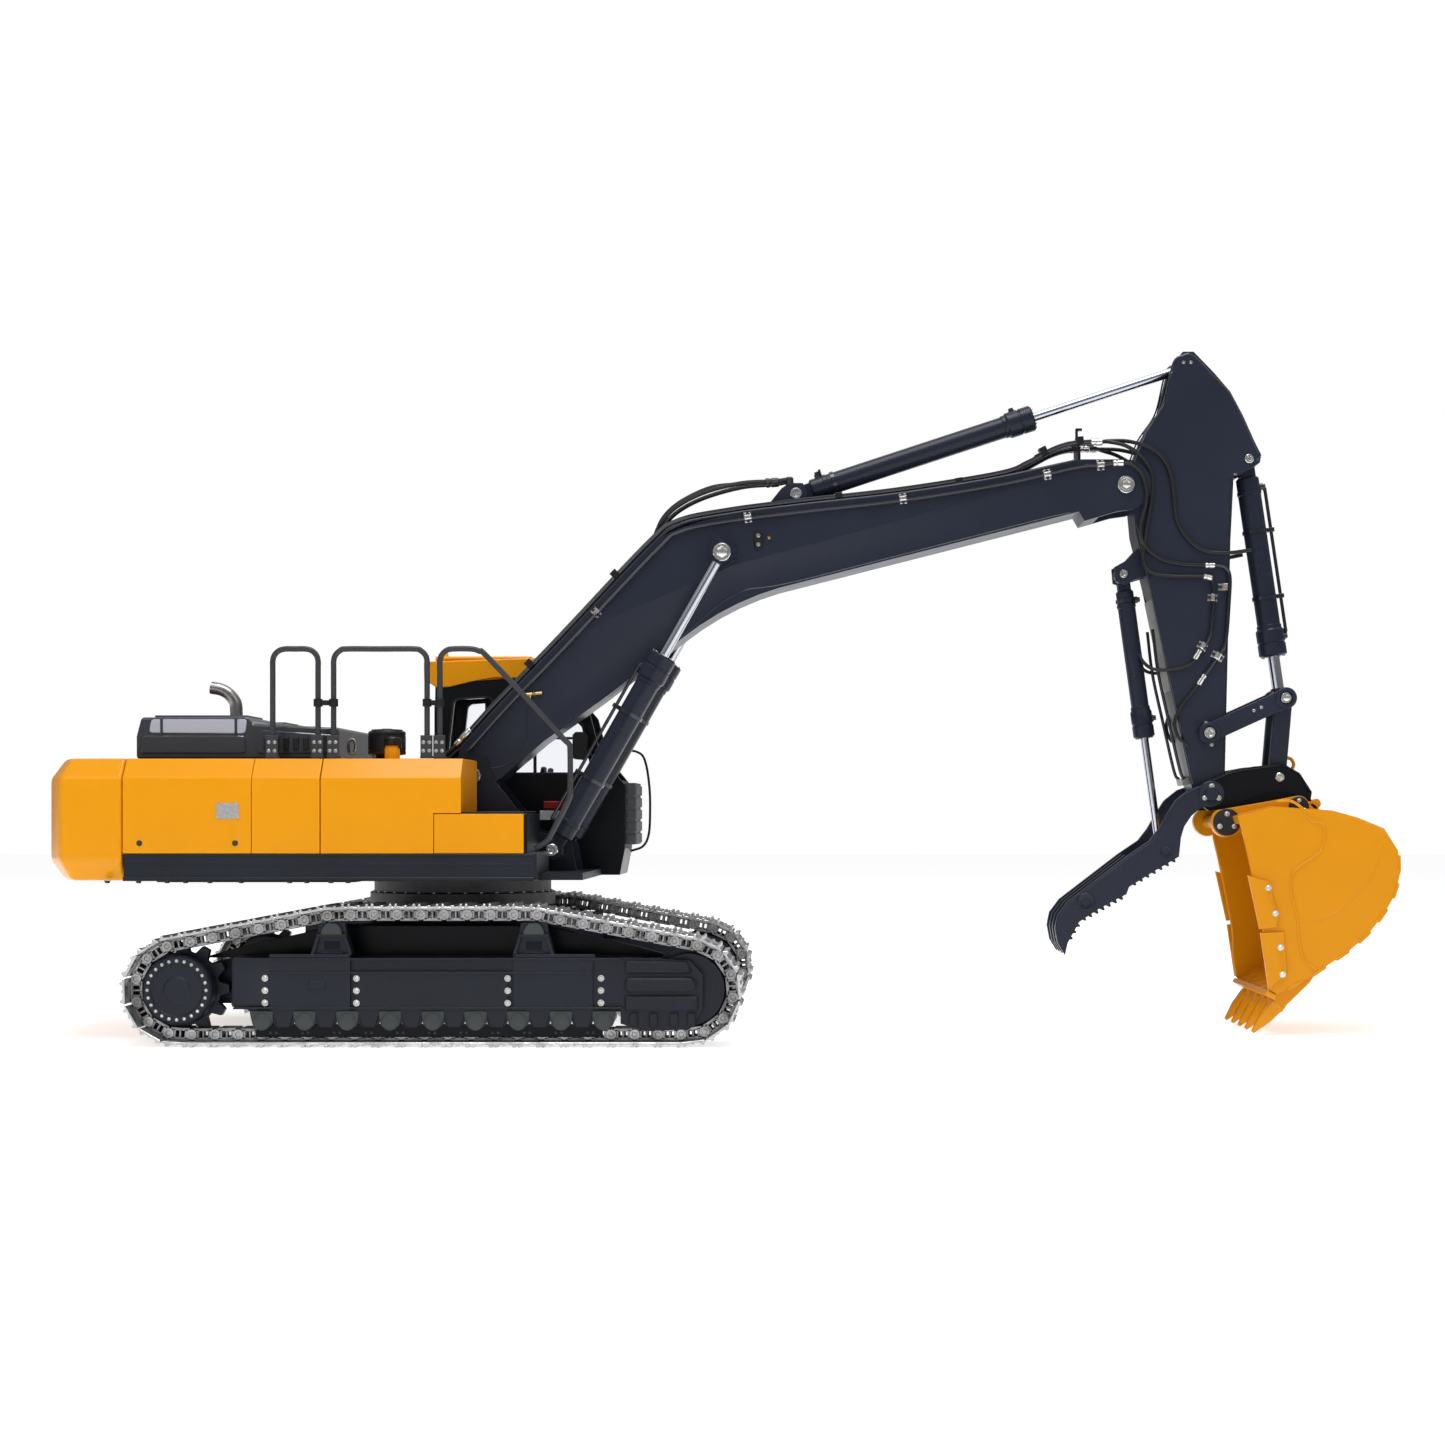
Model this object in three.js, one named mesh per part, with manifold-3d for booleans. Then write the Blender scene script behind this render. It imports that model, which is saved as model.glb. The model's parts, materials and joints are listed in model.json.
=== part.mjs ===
// Radio-controlled crawler excavator, about 1:14 scale, with a bucket and a hydraulic thumb.
// Millimetres, +Z up, +X towards the bucket, +Y towards the cab side of the machine.
// Most sizes are worked out from the slew axis (x = 0, y = 0) and the ground (z = 0).
// The finished machine is then shifted so that its origin is under the middle of its box.
import * as THREE from 'three';
import { mergeVertices } from 'three/addons/utils/BufferGeometryUtils.js';
import Module from 'manifold-3d';

const wasm = await Module();
wasm.setup();

// ---------------------------------------------------------------- driving dimensions

const GAP = 0.3;                       // clearance between neighbouring pieces
const ORIGIN_SHIFT_X = -195.2;         // from the slew axis to the middle of the machine

const TRACK = {
  y: 121.5,                            // chain centre line, each side
  wheelX: 177,                         // sprocket and idler axles, behind and ahead of the slew axis
  links: 56,
  pinRadius: 31.3,                     // radius of the link pins around sprocket and idler
  pinBottom: 8,                        // height of the link pins on the ground run
  pinTop: 91.3,                        // height of the link pins over the carrier rollers
  carrierX: 70,
  shoeWidth: 46,
  shoeInner: 4,                        // shoe plate, measured outwards from the pin line
  shoeOuter: 6,
  grouserTip: 8,
  railInner: -4.5,                     // link rails, measured outwards from the pin line
  railNear: 5,                         // rails on both sides of the sprocket teeth
  railFar: 10,
};
const AXLE_Z = TRACK.pinBottom + TRACK.pinRadius;

const HOUSE = {
  halfWidth: 122,
  bottom: 114.5,
  skirtTop: 133.7,
  chamferStart: 186.5,
  top: 200.5,
  chamferDepth: 10,
  counterweightFront: -220.5,
};

// Pivots of the digging gear in the x-z plane.
const BOOM_FOOT = [11, 190];
const ARM_PIVOT = [497, 407];
const ARM_ROD_PIN = [543.5, 498];
const ARM_BARREL_PIN = [251, 402];
const BUCKET_BARREL_PIN = [589.5, 427];
const TIP_PIN = [559, 176.5];
const ROCKER_PIN = [559, 222];
const ROCKER_END = [616, 248];
const COUPLER_LINK_PIN = [611, 189];
const BOOM_BARREL_PIN = [71.5, 135];
const BOOM_ROD_PIN = [196.5, 354.5];
const THUMB_BARREL_PIN = [497, 342];
const THUMB_ROD_PIN = [525.5, 133.5];
const BUCKET_FRONT_EYE = [568, 155.5];
const BUCKET_REAR_EYE = [621, 167];

// Layers of the digging gear, measured sideways from the centre plane.
const BOOM_HALF = 21;
const ARM_HALF = 17.5;
const COUPLER_LAYER = [18, 24];
const THUMB_LAYER = [24.5, 30];
const BUCKET_HALF = 63.5;
const BOOM_CYLINDER_Y = 35;

// Pins that carry the barrels of the hydraulic cylinders.
const PIN = 4;
const PIN_BORE = 4.4;

// Hydraulic cylinders: barrel length from the eye, radii, and where the rod starts inside.
const BOOM_CYLINDER = { barrel: 165, radius: 8.8, gland: 11, rod: 3.7, rodStart: 80, eye: 8, eyeHalf: 4.5 };
const ARM_CYLINDER = { barrel: 188, radius: 8, gland: 9.5, rod: 3.4, rodStart: 75, eye: 7.5, eyeHalf: 5.5 };
const BUCKET_CYLINDER = { barrel: 148, radius: 8.6, gland: 10.8, rod: 4.4, rodStart: 50, eye: 8, eyeHalf: 6 };
const THUMB_CYLINDER = { barrel: 124, radius: 6.6, gland: 8.5, rod: 3, rodStart: 45, eye: 6.5, eyeHalf: 5 };

// ---------------------------------------------------------------- finishes

const paint = (color, roughness = 0.35, metalness = 0.1) =>
  new THREE.MeshStandardMaterial({ color, roughness, metalness });
const FINISH = {
  yellow: () => paint(0xf2a60a, 0.3),
  bucketYellow: () => paint(0xe59a05, 0.4),
  navy: () => paint(0x262a36, 0.4, 0.2),
  black: () => paint(0x141517, 0.5),
  gloss: () => paint(0x2b2e31, 0.15),
  steel: () => paint(0xb4b4b2, 0.35, 0.9),
  darkSteel: () => paint(0x4a4b4e, 0.45, 0.8),
  chrome: () => paint(0xe0e2e4, 0.08, 1),
  cell: () => paint(0x2f5f9e, 0.6),
};

// ---------------------------------------------------------------- solids

function toSolid(geometry) {
  const bare = geometry.clone();
  bare.deleteAttribute('normal');
  bare.deleteAttribute('uv');
  const merged = mergeVertices(bare, 1e-4);
  const mesh = new wasm.Mesh({
    numProp: 3,
    vertProperties: Float32Array.from(merged.attributes.position.array),
    triVerts: Uint32Array.from(merged.index.array),
  });
  return new wasm.Manifold(mesh);
}

function toGeometry(solid) {
  const mesh = solid.getMesh();
  const geometry = new THREE.BufferGeometry();
  geometry.setAttribute('position', new THREE.BufferAttribute(Float32Array.from(mesh.vertProperties), 3));
  geometry.setIndex(new THREE.BufferAttribute(Uint32Array.from(mesh.triVerts), 1));
  geometry.computeVertexNormals();
  return geometry;
}

function join(...geometries) {
  return toGeometry(geometries.map(toSolid).reduce((sum, solid) => sum.add(solid)));
}

function cut(geometry, ...tools) {
  return toGeometry(tools.map(toSolid).reduce((rest, tool) => rest.subtract(tool), toSolid(geometry)));
}

function keepInside(geometry, limit) {
  return toGeometry(toSolid(geometry).intersect(toSolid(limit)));
}

function box(x0, x1, y0, y1, z0, z1) {
  const geometry = new THREE.BoxGeometry(x1 - x0, y1 - y0, z1 - z0);
  return geometry.translate((x0 + x1) / 2, (y0 + y1) / 2, (z0 + z1) / 2);
}

// A layer at a distance from the centre plane, on the side given by the sign.
function layer(side, near, far) {
  return side > 0 ? [near, far] : [-far, -near];
}

// A flat plate drawn in the x-z plane, filling the layer from y0 to y1.
function plate(shape, y0, y1, curveSegments = 6) {
  const geometry = new THREE.ExtrudeGeometry(shape, { depth: y1 - y0, bevelEnabled: false, curveSegments });
  return geometry.rotateX(Math.PI / 2).translate(0, y1, 0);
}

function polygon(points) {
  return new THREE.Shape(points.map(([x, z]) => new THREE.Vector2(x, z)));
}

function disc([x, z], radius, y0, y1, segments = 16) {
  return new THREE.CylinderGeometry(radius, radius, y1 - y0, segments).translate(x, (y0 + y1) / 2, z);
}

function upright(x, y, radius, z0, z1, segments = 16) {
  const geometry = new THREE.CylinderGeometry(radius, radius, z1 - z0, segments);
  return geometry.rotateX(Math.PI / 2).translate(x, y, (z0 + z1) / 2);
}

// A bar with round ends between two pivots.
function link(from, to, radius, y0, y1, segments = 16) {
  const angle = Math.atan2(to[1] - from[1], to[0] - from[0]);
  const shape = new THREE.Shape();
  shape.absarc(from[0], from[1], radius, angle + Math.PI / 2, angle + 1.5 * Math.PI, false);
  shape.absarc(to[0], to[1], radius, angle - Math.PI / 2, angle + Math.PI / 2, false);
  return plate(shape, y0, y1, segments / 2);
}

// A tube of the given radius through points, with its corners rounded by a spline.
function tube(points, radius, steps, sides = 8) {
  const path = new THREE.CatmullRomCurve3(points.map((p) => new THREE.Vector3(...p)), false, 'catmullrom', 0.2);
  const section = new THREE.Shape();
  section.absarc(0, 0, radius, 0, 2 * Math.PI, false);
  return new THREE.ExtrudeGeometry(section, { steps, extrudePath: path, curveSegments: sides / 2, bevelEnabled: false });
}

// ---------------------------------------------------------------- assembly helpers

const machine = new THREE.Group();
machine.position.x = ORIGIN_SHIFT_X;

function add(name, geometry, material) {
  const mesh = new THREE.Mesh(geometry, material);
  mesh.name = name;
  machine.add(mesh);
  return mesh;
}

const SIDES = [
  ['right', -1],
  ['left', 1],
];

// ---------------------------------------------------------------- crawler tracks

function trackPath() {
  const run = TRACK.wheelX - TRACK.carrierX;
  const rise = TRACK.pinTop - AXLE_Z;
  const slope = Math.atan2(rise, run) - Math.asin(TRACK.pinRadius / Math.hypot(run, rise));
  const path = new THREE.Path();
  path.moveTo(-TRACK.wheelX, TRACK.pinBottom);
  path.lineTo(TRACK.wheelX, TRACK.pinBottom);
  path.absarc(TRACK.wheelX, AXLE_Z, TRACK.pinRadius, -Math.PI / 2, Math.PI / 2 - slope, false);
  path.lineTo(TRACK.carrierX, TRACK.pinTop);
  path.lineTo(-TRACK.carrierX, TRACK.pinTop);
  path.absarc(-TRACK.wheelX, AXLE_Z, TRACK.pinRadius, Math.PI / 2 + slope, 1.5 * Math.PI, false);
  return path;
}

// The link pins, moved outwards from the pin line by the offset.
function pinPoints(path, offset) {
  const points = [];
  for (let i = 0; i < TRACK.links; i += 1) {
    const u = (i + 0.5) / TRACK.links;
    const at = path.getPointAt(u);
    const along = path.getTangentAt(u);
    points.push(new THREE.Vector2(at.x + along.y * offset, at.y - along.x * offset));
  }
  return points;
}

function loopPlate(path, inner, outer, y0, y1) {
  const shape = new THREE.Shape(pinPoints(path, outer));
  shape.holes.push(new THREE.Path(pinPoints(path, inner)));
  return plate(shape, y0, y1);
}

function trackGeometry(side) {
  const path = trackPath();
  const y = side * TRACK.y;
  const half = TRACK.shoeWidth / 2;
  const parts = [loopPlate(path, TRACK.shoeInner, TRACK.shoeOuter, y - half, y + half)];
  for (const rail of [-1, 1]) {
    const [near, far] = layer(rail, TRACK.railNear, TRACK.railFar);
    parts.push(loopPlate(path, TRACK.railInner, TRACK.shoeInner + GAP, y + near, y + far));
  }
  const pins = pinPoints(path, TRACK.shoeInner + 1);
  const height = TRACK.grouserTip - TRACK.shoeInner - 1;
  pins.forEach((pin, i) => {
    const next = pins[(i + 1) % pins.length];
    const grouser = new THREE.BoxGeometry(2, TRACK.shoeWidth, height);
    grouser.translate(0, 0, -height / 2);
    grouser.rotateY(-Math.atan2(next.y - pin.y, next.x - pin.x));
    grouser.translate((pin.x + next.x) / 2, y, (pin.y + next.y) / 2);
    parts.push(grouser);
  });
  return join(...parts);
}

function sprocketGeometry(side) {
  const teeth = 12;
  const outline = [];
  const radii = [[-0.36, 26], [-0.16, 32.8], [0.16, 32.8], [0.36, 26]];
  for (let i = 0; i < teeth; i += 1) {
    for (const [part, radius] of radii) {
      const angle = ((i + part) / teeth) * 2 * Math.PI;
      outline.push([-TRACK.wheelX + radius * Math.cos(angle), AXLE_Z + radius * Math.sin(angle)]);
    }
  }
  const y = side * TRACK.y;
  const hub = disc([-TRACK.wheelX, AXLE_Z], 24.4, ...layer(side, 111, 136.5), 24);
  const rim = disc([-TRACK.wheelX, AXLE_Z], 21, ...layer(side, 136, 138), 24);
  return join(plate(polygon(outline), y - 3.2, y + 3.2), hub, rim);
}

function idlerGeometry(side) {
  const y = side * TRACK.y;
  const tread = disc([TRACK.wheelX, AXLE_Z], 25.3, y - 10.2, y + 10.2, 24);
  return join(tread, disc([TRACK.wheelX, AXLE_Z], 29.8, y - 3.5, y + 3.5, 24));
}

const ROLLER = { count: 9, pitch: 29.6, radius: 7, z: 19.8, half: 10.2 };
const rollerX = (i) => (i - (ROLLER.count - 1) / 2) * ROLLER.pitch;

function rollerSetGeometry(side) {
  const y = side * TRACK.y;
  const parts = [box(rollerX(0), rollerX(ROLLER.count - 1), y - 2, y + 2, ROLLER.z - 2, ROLLER.z + 2)];
  for (let i = 0; i < ROLLER.count; i += 1) {
    parts.push(disc([rollerX(i), ROLLER.z], ROLLER.radius, y - ROLLER.half, y + ROLLER.half, 12));
  }
  return join(...parts);
}

function trackFrameGeometry(side) {
  const innerPlate = polygon([
    [-182, 28], [-140, 28], [140, 28], [182, 28], [186, 50], [140, 62], [-140, 62], [-186, 50],
  ]);
  const idlerCover = polygon([[130, 16], [146, 11], [178, 12], [187, 26], [187, 50], [178, 60], [130, 62]]);
  const parts = [
    plate(innerPlate, ...layer(side, 104.9, 110.7)),
    box(-140, 143, ...layer(side, 110, 134.2), 27.5, 60),
    plate(idlerCover, ...layer(side, 133, 137)),
    box(-113, -57, ...layer(side, 134, 139), 25.5, 64),
    box(-53.5, 52, ...layer(side, 134, 139), 25.5, 52),
    box(56, 111, ...layer(side, 134, 139), 25.5, 64),
    box(-138, 131, ...layer(side, 134, 137), 27, 60),
  ];
  for (const x of [-TRACK.carrierX, TRACK.carrierX]) {
    const bracket = polygon([[x - 13, 58], [x + 13, 58], [x + 9, 86], [x - 9, 86]]);
    parts.push(plate(bracket, ...layer(side, 133.5, 136.5)));
  }
  for (let i = 0; i < ROLLER.count - 1; i += 1) {
    const x = (rollerX(i) + rollerX(i + 1)) / 2;
    const guard = polygon([[x - 11, 28], [x - 6, 14.5], [x + 6, 14.5], [x + 11, 28]]);
    parts.push(plate(guard, ...layer(side, 133.2, 136.8)));
  }
  return join(...parts);
}

for (const [name, side] of SIDES) {
  add(`track_${name}`, trackGeometry(side), FINISH.steel());
  add(`sprocket_${name}`, sprocketGeometry(side), FINISH.navy());
  add(`idler_${name}`, idlerGeometry(side), FINISH.navy());
  add(`roller_set_${name}`, rollerSetGeometry(side), FINISH.darkSteel());
  add(`track_frame_${name}`, trackFrameGeometry(side), FINISH.navy());
  const y = side * TRACK.y;
  for (const [end, sign] of [['front', 1], ['rear', -1]]) {
    const roller = disc([sign * TRACK.carrierX, 79.5], 6.2, y - 10.2, y + 10.2, 12);
    add(`carrier_roller_${end}_${name}`, roller, FINISH.darkSteel());
  }
  const motor = disc([-TRACK.wheelX, AXLE_Z], 17, ...layer(side, 84, 104.6));
  add(`travel_motor_${name}`, motor, FINISH.black());
}

// ---------------------------------------------------------------- centre frame and slew ring

function ring(radius, hole, z0, z1, segments = 32) {
  const shape = new THREE.Shape();
  shape.absarc(0, 0, radius, 0, 2 * Math.PI, false);
  const inside = new THREE.Path();
  inside.absarc(0, 0, hole, 0, 2 * Math.PI, true);
  shape.holes.push(inside);
  const geometry = new THREE.ExtrudeGeometry(shape, {
    depth: z1 - z0, bevelEnabled: false, curveSegments: segments / 2,
  });
  return geometry.translate(0, 0, z0);
}

function centreFrameGeometry() {
  const plan = [[62, 40], [96, 104.6], [56, 104.6], [30, 66]];
  const leg = (sx, sy) => {
    const shape = polygon(plan.map(([x, y]) => [x * sx, y * sy]));
    const geometry = new THREE.ExtrudeGeometry(shape, { depth: 40, bevelEnabled: false });
    return geometry.translate(0, 0, 44);
  };
  const legs = [leg(1, 1), leg(1, -1), leg(-1, 1), leg(-1, -1)];
  return join(upright(0, 0, 76, 46, 88, 24), upright(0, 0, 68, 87, 93.5, 24), ...legs);
}

add('center_frame', centreFrameGeometry(), FINISH.navy());
add('slew_ring_lower', ring(69, 50, 93.8, 103.8), FINISH.darkSteel());
add('slew_ring_upper', ring(66, 50, 104.1, 114.2), FINISH.steel());

// ---------------------------------------------------------------- house

function deckFrameGeometry() {
  const side = HOUSE.halfWidth - 0.2;
  const parts = [
    box(-219, -34, -side + 2, side - 2, HOUSE.bottom, 119.5),
    box(-40, 100, -100, 44, HOUSE.bottom, 119.5),
    box(-219, 68.5, -side, -side + 4, HOUSE.bottom, 133.4),
    box(-219, -34, side - 4, side, HOUSE.bottom, 133.4),
    box(60, 68.5, -side, -46, HOUSE.bottom, 133.4),
    box(-219, -215, -side, side, HOUSE.bottom, 133.4),
  ];
  const ear = polygon([[-34, 119], [-24, 168], [2, 205], [20, 205], [27, 186], [56, 150], [84, 140], [88, 119]]);
  for (const [, sign] of SIDES) {
    const near = BOOM_HALF + 0.6;
    parts.push(plate(ear, ...layer(sign, near, near + 4)));
    parts.push(disc(BOOM_BARREL_PIN, PIN, ...layer(sign, near + 3, 42)));
  }
  parts.push(box(-34, -30, -24, 24, 119, 150));
  const bore = disc(BOOM_FOOT, 6.3, -40, 40);
  return cut(join(...parts), bore);
}

function counterweightGeometry() {
  const half = HOUSE.halfWidth - HOUSE.chamferDepth;
  const plan = new THREE.Shape();
  plan.moveTo(-180, -half);
  plan.lineTo(-180, half);
  plan.lineTo(-258, half);
  plan.lineTo(-266, half - 12);
  plan.quadraticCurveTo(-290, half / 3, -290, 0);
  plan.quadraticCurveTo(-290, -half / 3, -266, -half + 12);
  plan.lineTo(-258, -half);
  const rise = HOUSE.top - HOUSE.chamferStart;
  const body = new THREE.ExtrudeGeometry(plan, {
    depth: HOUSE.top - HOUSE.bottom - 2 * rise,
    bevelEnabled: true,
    bevelThickness: rise,
    bevelSize: HOUSE.chamferDepth,
    bevelSegments: 1,
    curveSegments: 5,
  });
  body.translate(0, 0, HOUSE.bottom + rise);
  const keep = box(-320, HOUSE.counterweightFront, -140, 140, 100, 220);
  return keepInside(body, keep);
}

// A side panel with the top edge chamfered: a wall and a sloping strip, or a solid block.
function sidePanel(side, x0, x1, z0, innerY) {
  const w = HOUSE.halfWidth;
  const section = new THREE.Shape([
    new THREE.Vector2(innerY, z0),
    new THREE.Vector2(w, z0),
    new THREE.Vector2(w, HOUSE.chamferStart),
    new THREE.Vector2(w - HOUSE.chamferDepth, HOUSE.top),
    new THREE.Vector2(innerY, HOUSE.top),
  ]);
  const geometry = new THREE.ExtrudeGeometry(section, { depth: x1 - x0, bevelEnabled: false });
  geometry.rotateX(Math.PI / 2).rotateZ(Math.PI / 2);
  // After the turns the section's width runs along +y on the left side of the machine.
  geometry.computeBoundingBox();
  const { min, max } = geometry.boundingBox;
  geometry.translate(x0 - min.x, -(min.y + max.y) / 2, 0);
  const half = (max.y - min.y) / 2;
  if (side < 0) {
    geometry.rotateZ(Math.PI);
    geometry.translate(x0 + x1, 0, 0);
  }
  return geometry.translate(0, side * (w - half), 0);
}

function doorGeometry(side, x0, x1) {
  const wall = 3;
  const outer = sidePanel(side, x0, x1, HOUSE.skirtTop, 96);
  const w = HOUSE.halfWidth - wall;
  const inside = box(x0 - 5, x1 + 5, ...layer(side, 90, w), 100, HOUSE.chamferStart - 1);
  const under = box(x0 - 5, x1 + 5, ...layer(side, 90, w - HOUSE.chamferDepth - 2), 100, HOUSE.top - wall);
  return cut(outer, inside, under);
}

const SEAM_X = [-219.9, -129.6, -81.6, -2];

function tankGeometry() {
  const block = sidePanel(-1, SEAM_X[2] + GAP, 17, HOUSE.skirtTop, 46);
  return cut(block, box(SEAM_X[3] - GAP, 30, -140, -30, 100, 162));
}

function toolboxGeometry() {
  return box(SEAM_X[3], 61, -HOUSE.halfWidth + 0.5, -46, HOUSE.skirtTop, 161.6);
}

add('deck_frame', deckFrameGeometry(), FINISH.navy());
add('counterweight', counterweightGeometry(), FINISH.yellow());
add('rear_door_right', doorGeometry(-1, SEAM_X[0], SEAM_X[1] - GAP), FINISH.yellow());
add('side_panel_right', doorGeometry(-1, SEAM_X[1], SEAM_X[2] - GAP), FINISH.yellow());
add('tank_right', tankGeometry(), FINISH.yellow());
add('toolbox_right', toolboxGeometry(), FINISH.yellow());
add('door_left', doorGeometry(1, SEAM_X[0], -36), FINISH.yellow());

function deckCoverGeometry() {
  const sheet = box(-219.9, -36, -95.7, 95.7, 197.5, HOUSE.top);
  const wells = box(-210, -84, -70, 60, 190, 210);
  return cut(sheet, wells, box(SEAM_X[2], -30, -140, -45.7, 190, 210));
}

add('deck_cover', deckCoverGeometry(), FINISH.black());

function hoodGeometry() {
  const low = polygon([[-219.5, 200.8], [-219.5, 217], [-216, 230.5], [-140, 231], [-136, 226], [-75, 223], [-75, 200.8]]);
  const room = polygon([[-216.5, 195], [-216.5, 217], [-214, 227.5], [-142, 228], [-138, 223], [-78, 220], [-78, 195]]);
  return cut(plate(low, -92, 92), plate(room, -89, 89));
}

add('engine_hood', hoodGeometry(), FINISH.gloss());

function exhaustGeometry() {
  const points = [[-174, 10, 231.3], [-174, 10, 243], [-177, 10, 251], [-184, 10, 256.5], [-193, 10, 258.5]];
  return tube(points, 5, 10, 6);
}

add('exhaust_pipe', exhaustGeometry(), FINISH.chrome());

function precleanerGeometry() {
  const base = upright(-46, -62, 8, HOUSE.top + GAP, 206, 16);
  return join(base, upright(-46, -62, 13.5, 205, 223.5, 20));
}

add('air_precleaner', precleanerGeometry(), FINISH.black());

const RAIL_Y = -108;
const RAIL_FOOT = HOUSE.top + GAP;
const RAIL_TOP = 278;

function railGeometry(points, feet, steps) {
  const bars = [tube(points, 2, steps, 6)];
  for (const x of feet) {
    bars.push(box(x - 4.5, x + 4.5, RAIL_Y - 2.6, RAIL_Y + 2.6, RAIL_FOOT, RAIL_FOOT + 16));
  }
  return join(...bars);
}

function archPoints(x0, x1) {
  const corner = 9;
  return [
    [x0, RAIL_Y, RAIL_FOOT + 1],
    [x0, RAIL_Y, RAIL_TOP - 2 * corner],
    [x0, RAIL_Y, RAIL_TOP - corner],
    [x0 + corner / 3, RAIL_Y, RAIL_TOP - corner / 3],
    [x0 + corner, RAIL_Y, RAIL_TOP],
    [x1 - corner, RAIL_Y, RAIL_TOP],
    [x1 - corner / 3, RAIL_Y, RAIL_TOP - corner / 3],
    [x1, RAIL_Y, RAIL_TOP - corner],
    [x1, RAIL_Y, RAIL_TOP - 2 * corner],
    [x1, RAIL_Y, RAIL_FOOT + 1],
  ];
}

const FRONT_RAIL = [
  [0, RAIL_Y, RAIL_FOOT + 1],
  [0, RAIL_Y, RAIL_TOP - 18],
  [0, RAIL_Y, RAIL_TOP - 9],
  [3, RAIL_Y, RAIL_TOP - 3],
  [9, RAIL_Y, RAIL_TOP],
  [24, RAIL_Y, RAIL_TOP],
  [32, RAIL_Y, RAIL_TOP - 4],
  [88, RAIL_Y, 214],
  [92, RAIL_Y, 207],
  [92, RAIL_Y, 178],
  [86, RAIL_Y, 160],
  [75, RAIL_Y, 142],
  [67, RAIL_Y, 137],
];

add('handrail_rear', railGeometry(archPoints(-118, -86), [-118, -86], 24), FINISH.black());
add('handrail_middle', railGeometry(archPoints(-75, -9), [-75, -9], 24), FINISH.black());
add('handrail_front', railGeometry(FRONT_RAIL, [1], 30), FINISH.black());

// ---------------------------------------------------------------- cab

const CAB = { y0: 46, y1: 118, wall: 3.5 };
const CAB_OUTLINE = [
  [-32, 114.5], [114, 114.5], [118, 135], [118, 184], [99, 207], [91, 238], [66, 268.3], [-29, 262],
];

function cabShellGeometry() {
  const outer = plate(polygon(CAB_OUTLINE), CAB.y0, CAB.y1);
  const room = polygon([
    [-28, 118], [111, 118], [114, 136], [114, 182], [95, 206], [87.5, 236.5], [64, 264.5], [-25, 258.5],
  ]);
  const rearWindow = polygon([[-19, 206], [14, 206], [14, 252], [-14, 250]]);
  const frontWindow = polygon([[22, 194], [92, 194], [84, 232], [62, 256], [22, 253]]);
  const doorway = polygon([[2, 123], [2, 252], [60, 256], [83, 232], [92, 200], [105, 186], [105, 150], [92, 123]]);
  const windscreen = polygon([[104, 188], [90, 207], [82, 236], [74, 246], [110, 262], [140, 200], [130, 188]]);
  return cut(
    outer,
    plate(room, CAB.y0 + CAB.wall, CAB.y1 - CAB.wall),
    plate(rearWindow, 40, 130),
    plate(frontWindow, 40, 60),
    plate(doorway, 100, 130),
    plate(windscreen, CAB.y0 + 8, CAB.y1 - 8),
    box(-40, -20, CAB.y0 + 10, CAB.y1 - 10, 206, 250),
  );
}

function cabDoorGeometry() {
  const leaf = polygon([[-1, 119], [-1, 255], [61.5, 259], [86, 233], [95, 201], [108, 187], [108, 149], [94, 119]]);
  const glass = polygon([[6, 160], [6, 248], [59, 251], [79, 230], [88, 199], [98, 184], [98, 160]]);
  const y = CAB.y1 + GAP;
  return cut(plate(leaf, y, y + 3), plate(glass, y - 5, y + 8));
}

function cabRoofGeometry() {
  const profile = polygon([[-34, 262.3], [-38, 280], [50, 283], [72, 274], [70, 269.1]]);
  return plate(profile, CAB.y0, CAB.y1);
}

function seatGeometry() {
  const cushion = box(12, 46, 64, 98, 142, 152);
  const back = box(6, 15, 65, 97, 148, 196);
  const base = box(16, 40, 70, 92, 118.3, 143);
  return join(cushion, back, base);
}

add('cab_shell', cabShellGeometry(), FINISH.black());
add('cab_door', cabDoorGeometry(), FINISH.black());
add('cab_roof', cabRoofGeometry(), FINISH.yellow());
add('operator_seat', seatGeometry(), FINISH.black());

// ---------------------------------------------------------------- drive equipment in the house

add('battery_pack', box(-205, -125, -42, 42, 119.8, 158), FINISH.cell());
add('pump_unit', join(
  box(-112, -84, -16, 16, 119.8, 150),
  disc([-98, 138], 13, -40, 40),
), FINISH.darkSteel());

// ---------------------------------------------------------------- boom and arm

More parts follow.
